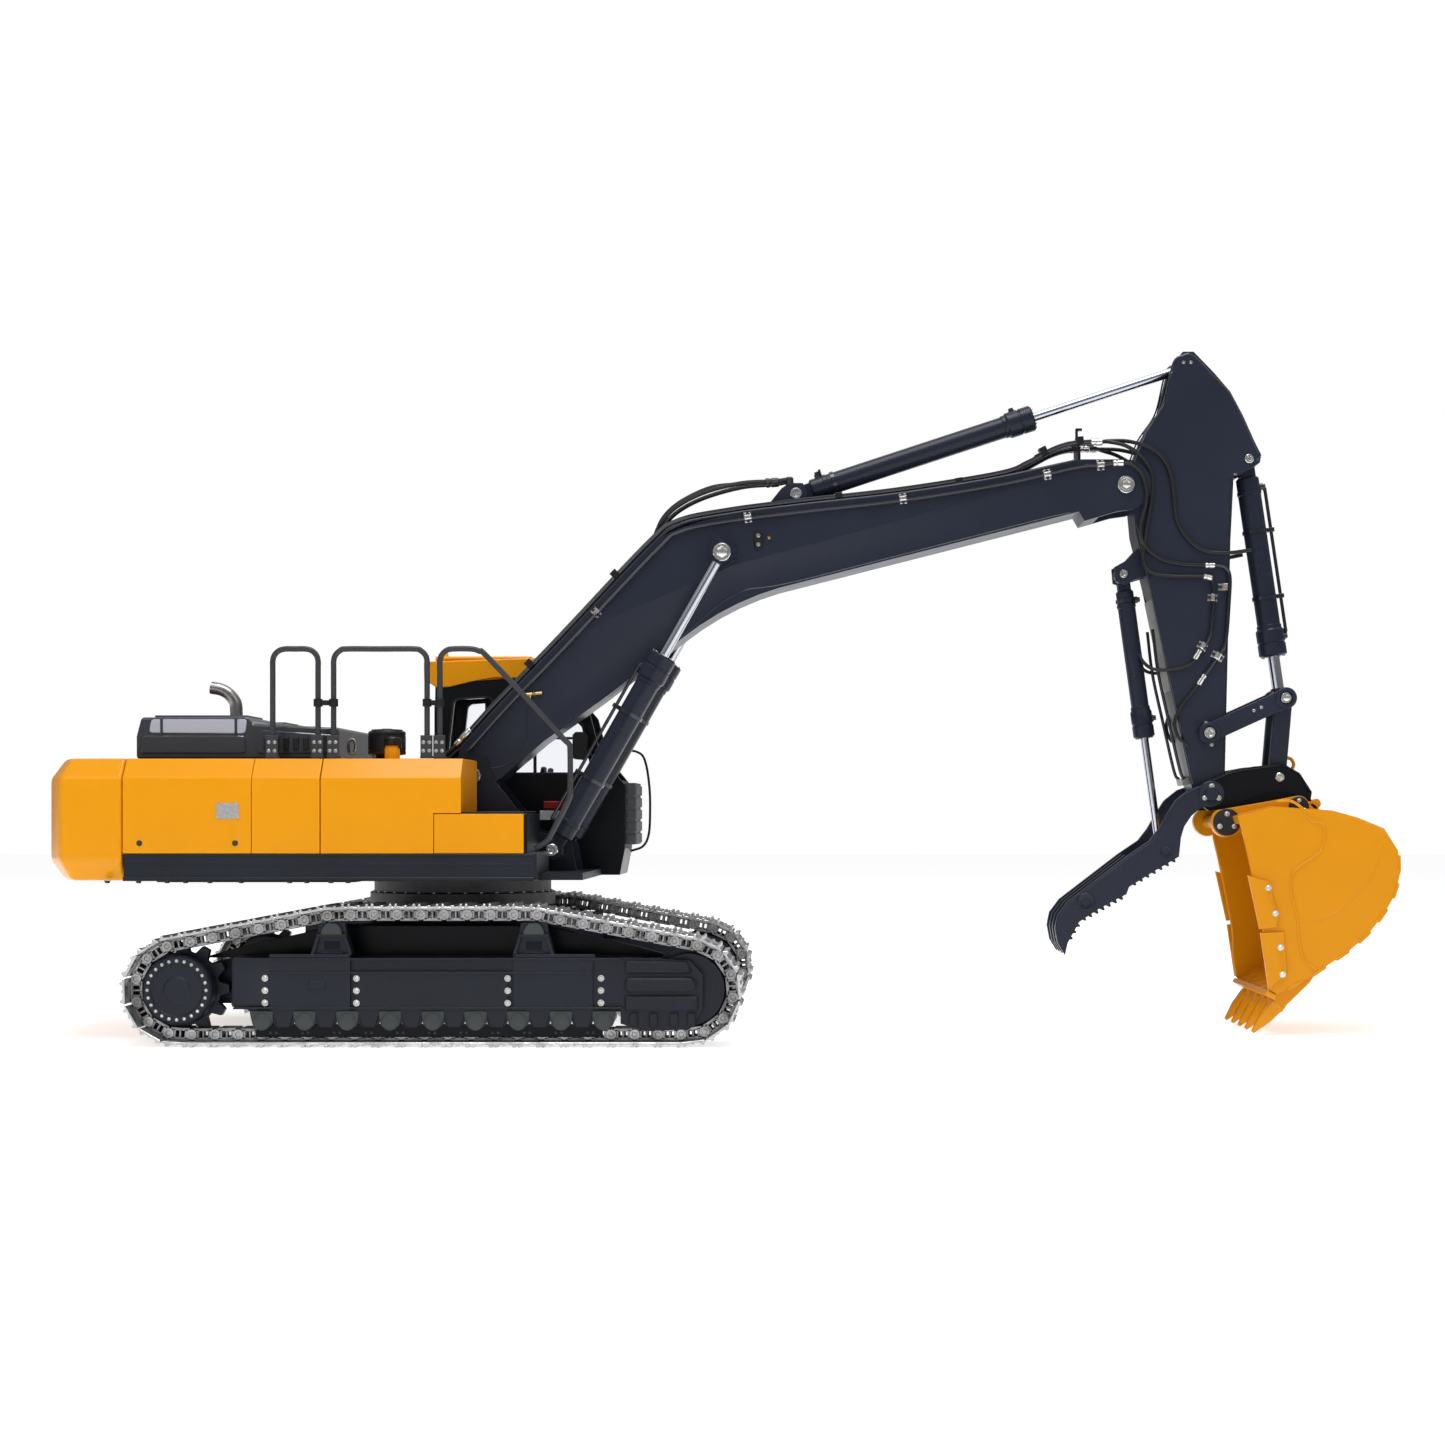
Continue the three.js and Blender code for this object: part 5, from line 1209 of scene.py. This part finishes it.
class RCX_OT_cylinders(bpy.types.Operator):
    """Turned barrels with glands, bands and pipes, and chromed rods with eyes"""

    bl_idname = "excavator.cylinders"
    bl_label = "Hydraulic cylinders"

    def execute(self, context):
        for name, (start, end, y, barrel, r, rod, eye, half) in CYLINDERS.items():
            start, end = np.array((start[0], y, start[1]), float), np.array((end[0], y, end[1]), float)
            long = np.linalg.norm(end - start)
            along = (end - start) / long
            up = np.array((-along[2], 0, along[0]))
            g = r * 1.22
            profile = [(0, 12), (r - 1.2, 12), (r, 13.2), (r, 22), (r + 0.5, 22.4), (r + 0.5, 25), (r, 25.4),
                       (r, barrel - 24), (r + 0.6, barrel - 23.4), (r + 0.6, barrel - 21), (g, barrel - 19.5),
                       (g, barrel - 11), (g - 0.5, barrel - 10.5), (g - 0.5, barrel - 9.5), (g, barrel - 9),
                       (g, barrel - 1.2), (g - 1.2, barrel), (rod + 1.2, barrel), (rod + 1.0, barrel - 0.8),
                       (rod + 0.1, barrel - 0.8), (rod + 0.1, barrel - 6), (0, barrel - 6)]
            neck_half = 0.72 * eye
            corners = [start[[0, 2]] + a * along[[0, 2]] + b * up[[0, 2]] for a,
                       b in ((2, -neck_half), (13.5, -neck_half), (13.5, neck_half), (2, neck_half))]
            parts = [turned(profile, start, along, 36), plate(corners, y - half + 0.3, y + half - 0.3, 0.6),
                     turned([(4.6, -half), (eye - 0.6, -half), (eye, -half + 0.6), (eye, half - 0.6),
                             (eye - 0.6, half), (4.6, half), (4.6, -half)], start, (0, 1, 0), 32)]
            build(f"{name}_barrel_shape", parts, "Cylinder paint", BODY_OF[f"{name}_barrel"], (f"{name}_barrel",))
            angle = np.arange(8) * pi / 4
            screws = [seat(bolt(0.0007, 0.0008), at(start + along * barrel + (g - 2.2)
                                                    * (np.cos(a) * up + np.sin(a) * np.array((0, 1, 0)))), along)
                      for a in angle]
            ports = []
            for d in (20, barrel - 14):
                ports.append(turned([(0, r - 2), (2.6, r - 2), (2.6, r + 2.2), (1.9, r + 2.6), (1.9, r + 4),
                                     (0, r + 4)], start + along * d, up, 12))
            pipe = [start + along * a + up * b for a, b in ((20, r + 2.6), (24, r + 3.4), (30, r + 3.5),
                                                            (barrel - 26, r + 3.5), (barrel - 19, r + 3.4),
                                                            (barrel - 14, r + 2.6))]
            piped = name not in ("arm_cylinder", "thumb_cylinder")
            for d in (0.36, 0.7) if piped else (0.16,):
                o = start + along * (d * barrel)
                ports.append(turned([(r - 0.2, -1.6), (r + 0.9, -1.4), (r + 0.9, 1.4), (r - 0.2, 1.6)], o, along, 32))
                if piped:
                    c = (o + up * (r + 2.6))[[0, 2]]
                    ports.append(tilted(c[0], c[1], 3.2, 6.4, np.degrees(np.arctan2(along[2], along[0])), y - 2.4,
                                        y + 2.4, 0.4))
            if piped:
                ports.append(run(pipe, 1.3, 60))
            if name == "arm_cylinder":
                ports.append(tilted(269.4, 417.5, 1.6, 8, 18, -3, 3))
            build(f"{name}_fittings", ports, "Pipe paint", BODY_OF[f"{name}_barrel"])
            build(f"{name}_gland_bolts", screws, "Pin steel", BODY_OF[f"{name}_barrel"])
            first = barrel - 30
            rod_profile = [(0, first), (rod, first), (rod, long - eye * 0.5), (0, long - eye * 0.5)]
            build(f"{name}_rod_shape", [turned(rod_profile, start, along, 28)], "Chromed rod",
                  BODY_OF[f"{name}_rod"], (f"{name}_rod",))
            e = eye - 0.5
            collar = [(rod, long - eye - 0.8), (rod + 1.4, long - eye - 0.4), (rod + 1.4, long - eye + 1),
                      (rod, long - eye + 1.5)]
            hole = 4.6 if name != "bucket_cylinder" else 4.4
            loop = [(hole, -half), (e - 0.6, -half), (e, -half + 0.6), (e, half - 0.6), (e - 0.6, half),
                    (hole, half), (hole, -half)]
            build(f"{name}_rod_eye", [turned(collar, start, along, 24), turned(loop, end, (0, 1, 0), 32)],
                  "Cylinder paint", BODY_OF[f"{name}_rod"])
        caps = []
        for side in (-1, 1):
            cap, _ = pin_cap((71.5, 135), side * 42, side, 4.6, 0, 1.2)
            caps += cap
        build("boom_barrel_pin_caps", caps, "Bright steel", BODY_OF["deck_frame"])
        return {"FINISHED"}


# ---------------------------------------------------------------- bucket end


class RCX_OT_linkage(bpy.types.Operator):
    """Pin caps, bosses, bolts, ribs, cheeks and a hook of the rocker and coupler, and the thumb's pin discs"""

    bl_idname = "excavator.linkage"
    bl_label = "Linkage details"

    def execute(self, context):
        rocker, coupler, thumb = BODY_OF["rocker_link"], BODY_OF["quick_coupler"], BODY_OF["thumb"]
        silver, bosses = [], []
        for side in (-1, 1):
            cap, _ = pin_cap((616, 248), side * 22.4, side, 4.2, 0, 1.5)
            silver += cap + studs([(616, 248)], side * 23.8, side, 2.6, 1.2) + studs([(592, 238.6), (597.5, 241)],
                                                                                     side * 22.5, side, 1.0)
            bosses += [turned([(5, 0), (8, 0), (8, 1.0), (7.4, 1.6), (5, 1.6)], (x, side * 22.3, z), (0, side, 0),
                              28) for x, z in ((559, 222), (616, 248))]
        build("rocker_pin_caps", silver, "Bright steel", rocker)
        build("rocker_bosses", bosses, "Navy paint", rocker)
        silver, ribs = [], []
        for side in (-1, 1):
            cap, _ = pin_cap((611, 189), side * 24, side, 3.4, 0, 1.2)
            silver += cap
            ribs.append(run(beside([(560, 185.5), (575, 192), (592, 195), (613, 197), (624.5, 190.5), (633, 178)],
                                   side * 24), 0.7, 60, 6))
        hook = run([(618, 0, 196), (617, 0, 201), (620, 0, 204), (624.5, 0, 203), (626.5, 0, 199), (625, 0, 195)],
                   1.3, 40)
        build("coupler_pin_caps", silver, "Bright steel", coupler)
        build("coupler_ribs", ribs, "Black paint", coupler)
        build("coupler_hook", [hook], "Bucket paint", coupler)
        cheeks = [(570, 166), (584, 172), (606, 179), (622, 177), (634, 173), (640, 167), (600, 168.4), (575, 162.8)]
        build("coupler_cheeks", [plate(cheeks, *layer(side, 17.2, 23.6), 0.5) for side in (-1, 1)], "Black paint",
              coupler)
        discs, bolts = [], []
        for side in (-1, 1):
            cap, ring = pin_cap((559, 176.5), side * 30, side, 9.6, 3, 1.6)
            discs += cap
            bolts += ring
        build("thumb_discs", discs, "Navy paint", thumb)
        build("thumb_disc_bolts", bolts, "Pin steel", thumb)
        return {"FINISHED"}


class RCX_OT_thumb(bpy.types.Operator):
    """Bosses, serrations and spacer ends of the thumb"""

    bl_idname = "excavator.thumb"
    bl_label = "Thumb details"

    def execute(self, context):
        body = BODY_OF["thumb"]
        teeth, bosses = [], []
        for side in (-1, 1):
            for a, b, count in (((499, 108.5), (533, 128.5), 7), ((462, 82.5), (494, 100.5), 7),
                                ((453, 67), (461, 81), 3)):
                for k in range(count):
                    p = np.array(a) + (np.array(b) - a) * (k + 0.5) / count
                    d = (np.array(b) - a) / np.linalg.norm(np.array(b, float) - a)
                    n = np.array((d[1], -d[0]))
                    tooth = [p - d * 1.9 - n, p + d * 1.9 - n, p + d * 1.3 + n * 1.8, p + d * 0.2 + n * 1.8]
                    teeth.append(plate(tooth, *layer(side, 24.6, 29.9), 0.2))
            bosses.append(turned([(0, -0.6), (3.4, -0.6), (3.4, 0.2), (4.6, 0.4), (4.6, 1.0), (6.2, 1.2),
                                  (6.8, 0.6), (6.8, -1), (0, -1)], (466, side * 30, 96.5), (0, side, 0)))
            bosses.append(turned([(0, -0.4), (2.6, -0.4), (2.6, 0.4), (4.0, 0.6), (4.4, 0), (4.4, -1), (0, -1)],
                                 (525.5, side * 30, 133.5), (0, side, 0)))
            bosses.append(run(beside([(557, 184), (543, 178.5), (534, 171), (527.5, 161), (521.5, 149.5),
                                      (514, 140.5), (498, 129.5), (466.5, 105.5), (454, 95.5), (446.5, 86),
                                      (444.5, 77), (446.5, 66.5)], side * 29.9), 0.6, 100, 6))
        build("thumb_teeth", teeth, "Navy paint", body)
        build("thumb_bosses", bosses, "Navy paint", body)
        return {"FINISHED"}


BUCKET_BACK = [(641, 164), (659, 159), (678.5, 151), (688.5, 135), (690.5, 120), (686.5, 103), (678.5, 89),
               (668.5, 76), (655, 63.5), (628, 45), (600.5, 30.5)]


class RCX_OT_bucket(bpy.types.Operator):
    """Side cutters, wear strips, welds, pin discs and teeth of the bucket"""

    bl_idname = "excavator.bucket"
    bl_label = "Bucket details"

    def execute(self, context):
        body = BODY_OF["bucket"]
        steel, heads, discs, screws = [], [], [], []
        for side in (-1, 1):
            steel.append(plate([(579, 117), (594.5, 112.6), (601.4, 86), (599.5, 79), (587.5, 78)],
                               *layer(side, 63.3, 66), 0.5))
            steel.append(plate([(588, 75.2), (605.3, 76), (607.2, 46), (594, 34.5)], *layer(side, 63.3, 66), 0.5))
            for a, b in (((594.2, 104), (597.4, 94)), ((602.9, 60), (603.8, 50))):
                steel.append(run(beside([a, b], side * 66), 0.9, 8, 6))
            heads += studs([(593.8, 108), (598.9, 89.4), (602.6, 64.7), (604.1, 45.1)], side * 66, side, 1.7, 1.3)
            weld = [(600, 171), (610.4, 171), (619, 165.6), (621.5, 160), (627, 156), (633.7, 154.5), (635, 145),
                    (631, 133.5), (619.5, 125.5), (611.8, 118), (610.8, 106.5), (615.2, 85.5), (619.1, 58.8),
                    (629, 49)]
            steel.append(run(beside(weld, side * 63.4), 1.1, 110, 6))
            steel.append(run(beside([(677.5, 139), (671.6, 122), (662, 106.5), (642.5, 89.5), (617.2, 80)],
                                    side * 63.3), 0.6, 60, 6))
            rim = [(577.8, 143), (583.9, 116), (592.4, 71.5), (592.9, 53), (595.4, 35)]
            steel.append(run(beside(rim, side * 62), 1.3, 60, 8))
            cap, ring = pin_cap((568, 155.5), side * 42, side, 10, 3, 1.8)
            discs += cap
            screws += ring
            cap, ring = pin_cap((621, 167), side * 42, side, 7.4, 3, 1.6)
            discs += cap
            screws += ring
            eye = [(634, 164), (638, 168.5), (636, 173), (631.5, 172.5), (629, 168)]
            steel.append(plate(rounded(eye, 2), *layer(side, 38, 42), 0.5))
        back = np.array(BUCKET_BACK, float)
        d = np.gradient(back, axis=0)
        d /= np.linalg.norm(d, axis=1)[:, None]
        length = np.concatenate([[0], np.cumsum(np.linalg.norm(np.diff(back, axis=0), axis=1))])
        for y in (-61.5, -20.5, 20.5, 61.5):
            for k in range(7):
                s = np.array((0.30, 0.36)) + k * 0.1
                at_s = np.stack([np.interp(s * length[-1], length, back[:, j]) for j in (0, 1)], 1)
                t = at_s[1] - at_s[0]
                t /= np.linalg.norm(t)
                n = np.array((-t[1], t[0]))
                long = 6.4
                middle = at_s.mean(0) + n * 0.4
                strip_edge = np.array([middle - t * long - n * 1.2, middle + t * long - n * 1.2,
                                       middle + t * (long - 1) + n * 0.9, middle - t * (long - 1) + n * 0.9])
                strip_edge[:, 0] = np.minimum(strip_edge[:, 0], 690.6)
                steel.append(plate(strip_edge, y - 2.6, y + 2.6, 0.3))
        build("bucket_steel", steel, "Bucket paint", body)
        build("cutter_bolts", heads, "Bright steel", body)
        build("bucket_discs", discs, "Dark rubber", body)
        build("bucket_disc_bolts", screws, "Pin steel", body)
        tips = []
        for i in range(-2, 3):
            y = i * 26
            holder = [(599, 26.4), (594, 33), (606, 38), (618, 42), (630, 45), (625.4, 38), (609.2, 22.4),
                      (605.5, 17)]
            tips.append(plate(holder, y - 6.2, y + 6.2, 0.9))
            outline = np.array([(-5.6, 0), (5.6, 0), (4.2, -14), (1.8, -27), (-1.8, -27), (-4.2, -14)])
            top, tip = np.array((602.6, 22.4)), np.array((585.4, 2.6))
            axis = (tip - top) / np.linalg.norm(tip - top)
            thick = np.array((-axis[1], axis[0]))
            reach = -outline[:, 1]
            swell = np.interp(reach, (0, 14, 27), (5.4, 4.2, 1.0))
            rings = []
            for k in (-1, -0.8, 0.8, 1):
                flat = top + reach[:, None] * axis + (k * swell)[:, None] * thick
                wide = outline[:, 0] * (0.82 if abs(k) == 1 else 1)
                rings.append(np.stack([flat[:, 0], y + wide, flat[:, 1]], 1))
            points = at(np.concatenate(rings))
            tips.append((points, [strip(4, 6), np.arange(6)[None, :], (18 + np.arange(6))[None, :]]))
            tips.append(turned([(0, -6.6), (1.0, -6.6), (1.0, 6.6), (0, 6.6)], (603, y, 24.4), (0, 1, 0), 12))
        edge = [plate([(600.5, 29.6), (594.2, 33.6), (592, 30.6), (598, 26.6)], -63.5, 63.5, 0.4)]
        build("bucket_teeth_shape", tips + edge, "Bucket paint", body, ("bucket_teeth",), 30)
        return {"FINISHED"}


# ---------------------------------------------------------------- panel and stage


class RCX_OT_finishes(bpy.types.Operator):
    """Node groups and materials of the machine"""

    bl_idname = "excavator.finishes"
    bl_label = "Finishes"

    def execute(self, context):
        make_finishes()
        return {"FINISHED"}


DRESSED = {"Navy paint": ["boom", "arm", "thumb", "rocker_link", "h_link", "arm_tip_pin"],
           "Frame paint": ["deck_frame", "center_frame", "track_frame_right", "track_frame_left", "sprocket_right",
                           "sprocket_left", "idler_right", "idler_left"],
           "Yellow paint": ["counterweight", "rear_door_right", "side_panel_right", "tank_right", "toolbox_right",
                            "door_left", "cab_roof"], "Bucket paint": ["bucket"], "Hood gloss": ["engine_hood"],
           "Black paint": ["cab_shell", "cab_door", "quick_coupler", "travel_motor_right", "travel_motor_left"],
           "Grip tape": ["deck_cover"], "Chair plastic": ["operator_seat"], "Battery wrap": ["battery_pack"],
           "Dark steel": ["pump_unit", "slew_ring_lower", "slew_ring_upper", "roller_set_right", "roller_set_left"],
           "Pin steel": ["boom_foot_pin", "arm_pivot_pin"],}
EDGE_WIDTHS = {"counterweight": 0.0025, "engine_hood": 0.002, "cab_shell": 0.001, "cab_roof": 0.002,
               "operator_seat": 0.003}


class RCX_OT_dress_frame(bpy.types.Operator):
    """Finished copies of the frame's own pieces, with broken edges"""

    bl_idname = "excavator.dress_frame"
    bl_label = "Main pieces"

    def execute(self, context):
        for finish, nodes in DRESSED.items():
            for node in nodes:
                dress(node, finish, EDGE_WIDTHS.get(node))
        return {"FINISHED"}


def make_surroundings(scene):
    """A white room: plain white seen directly or through glass, and a soft dome brighter overhead."""
    world = bpy.data.worlds.new("Studio")
    scene.world = world
    world.use_nodes = True
    w = Wires(world.node_tree)
    up = w.node("SeparateXYZ")
    w.join(w.node("TexCoord").outputs["Generated"], up.inputs[0])
    dome = w.ramp(up.outputs["Z"], 0.0, 1.0, 0.18, 0.6)
    path = w.node("LightPath")
    seen = w.maths("MAXIMUM", path.outputs["Is Camera Ray"], path.outputs["Is Transmission Ray"])
    strength = w.node("Mix", data_type="FLOAT")
    w.join(seen, strength.inputs["Factor"])
    w.join(dome, strength.inputs[2])
    strength.inputs[3].default_value = 1.0
    sky = world.node_tree.nodes["Background"]
    sky.inputs["Color"].default_value = (1, 1, 1, 1)
    w.join(strength.outputs[0], sky.inputs["Strength"])
    scene.view_settings.view_transform = "Standard"


# Level camera with a shifted lens: millimetres, shares of the frame's width, and metres with x from the slew axis.
SENSOR_WIDTH = 36
FOCAL_LENGTH = 55.407612
LENS_SHIFT = (-0.0592, 0.0661)
CAMERA_PLACE = (0.26, -1.6785, 0.1586)

# Square lamps aimed at the machine: name, place and side in metres, power in watts.
LAMPS = (
    ("key", (-1.2, -1.9, 2.0), 1.2, 7),
    ("fill", (1.6, -1.6, 1.8), 1.4, 4.8),
    ("top", (0.0, -0.55, 2.2), 1.3, 33),
    ("back", (0.3, 2.0, 2.2), 2.0, 8),
)


class RCX_OT_stage(bpy.types.Operator):
    """Pale floor, soft lights and the camera"""

    bl_idname = "excavator.stage"
    bl_label = "Stage"

    def execute(self, context):
        _, shader = start_material("Studio floor")
        shader.inputs["Base Color"].default_value = (0.92, 0.92, 0.92, 1)
        shader.inputs["Roughness"].default_value = 0.6
        shader.inputs["Emission Color"].default_value = (1, 1, 1, 1)
        shader.inputs["Emission Strength"].default_value = 0.55
        u = np.linspace(-8, 8, 9)
        x, y = np.meshgrid(u, u, indexing="ij")
        mesh = bpy.data.meshes.new("floor")
        mesh.from_pydata(np.stack([x, y, 0 * x], -1).reshape(-1, 3).tolist(), [], strip(9, 9, False, False).tolist())
        mesh.materials.append(bpy.data.materials["Studio floor"])
        floor = bpy.data.objects.new("floor", mesh)
        context.scene.collection.objects.link(floor)
        floor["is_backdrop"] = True
        make_surroundings(context.scene)
        for name, place, size, power in LAMPS:
            light = bpy.data.lights.new(name, "AREA")
            light.size = size
            light.energy = power
            lamp = bpy.data.objects.new(name, light)
            lamp.location = place
            lamp.rotation_euler = (Vector((0, 0, 0.2)) - Vector(place)).to_track_quat("-Z", "Y").to_euler()
            context.scene.collection.objects.link(lamp)
        lens = bpy.data.cameras.new("camera")
        lens.sensor_width = SENSOR_WIDTH
        lens.lens = FOCAL_LENGTH
        lens.shift_x, lens.shift_y = LENS_SHIFT
        camera = bpy.data.objects.new("camera", lens)
        camera.location = (AXIS_X + CAMERA_PLACE[0], *CAMERA_PLACE[1:])
        camera.rotation_euler = (pi / 2, 0, 0)
        context.scene.collection.objects.link(camera)
        context.scene.camera = camera
        return {"FINISHED"}


class RCX_PT_panel(bpy.types.Panel):
    """Sizes, colours and steps of the excavator"""

    bl_label = "Excavator"
    bl_idname = "RCX_PT_panel"
    bl_space_type = "VIEW_3D"
    bl_region_type = "UI"
    bl_category = "Excavator"

    def draw(self, context):
        for group in (context.scene.excavator_sizes, context.scene.excavator_colours):
            for key in group.bl_rna.properties.keys():
                if key not in ("rna_type", "name"):
                    self.layout.prop(group, key)
        for operator in STEPS:
            self.layout.operator(operator.bl_idname)


STEPS = (RCX_OT_finishes, RCX_OT_stage, RCX_OT_dress_frame, RCX_OT_tracks, RCX_OT_running_gear, RCX_OT_house,
         RCX_OT_hood, RCX_OT_handrails, RCX_OT_cab, RCX_OT_boom, RCX_OT_arm, RCX_OT_cylinders, RCX_OT_linkage,
         RCX_OT_thumb, RCX_OT_bucket)
CLASSES = (ExcavatorSizes, ExcavatorColours) + STEPS + (RCX_PT_panel,)


def register():
    for item in CLASSES:
        bpy.utils.register_class(item)
    bpy.types.Scene.excavator_sizes = PointerProperty(type=ExcavatorSizes)
    bpy.types.Scene.excavator_colours = PointerProperty(type=ExcavatorColours)


def unregister():
    del bpy.types.Scene.excavator_colours
    del bpy.types.Scene.excavator_sizes
    for item in reversed(CLASSES):
        bpy.utils.unregister_class(item)


def main():
    register()
    for step in STEPS:
        group, name = step.bl_idname.split(".")
        getattr(getattr(bpy.ops, group), name)()
    plain = [[[float(v) for v in corner] for corner in box] for box in (CAD_BOX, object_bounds())]


if __name__ == "__main__":
    main()
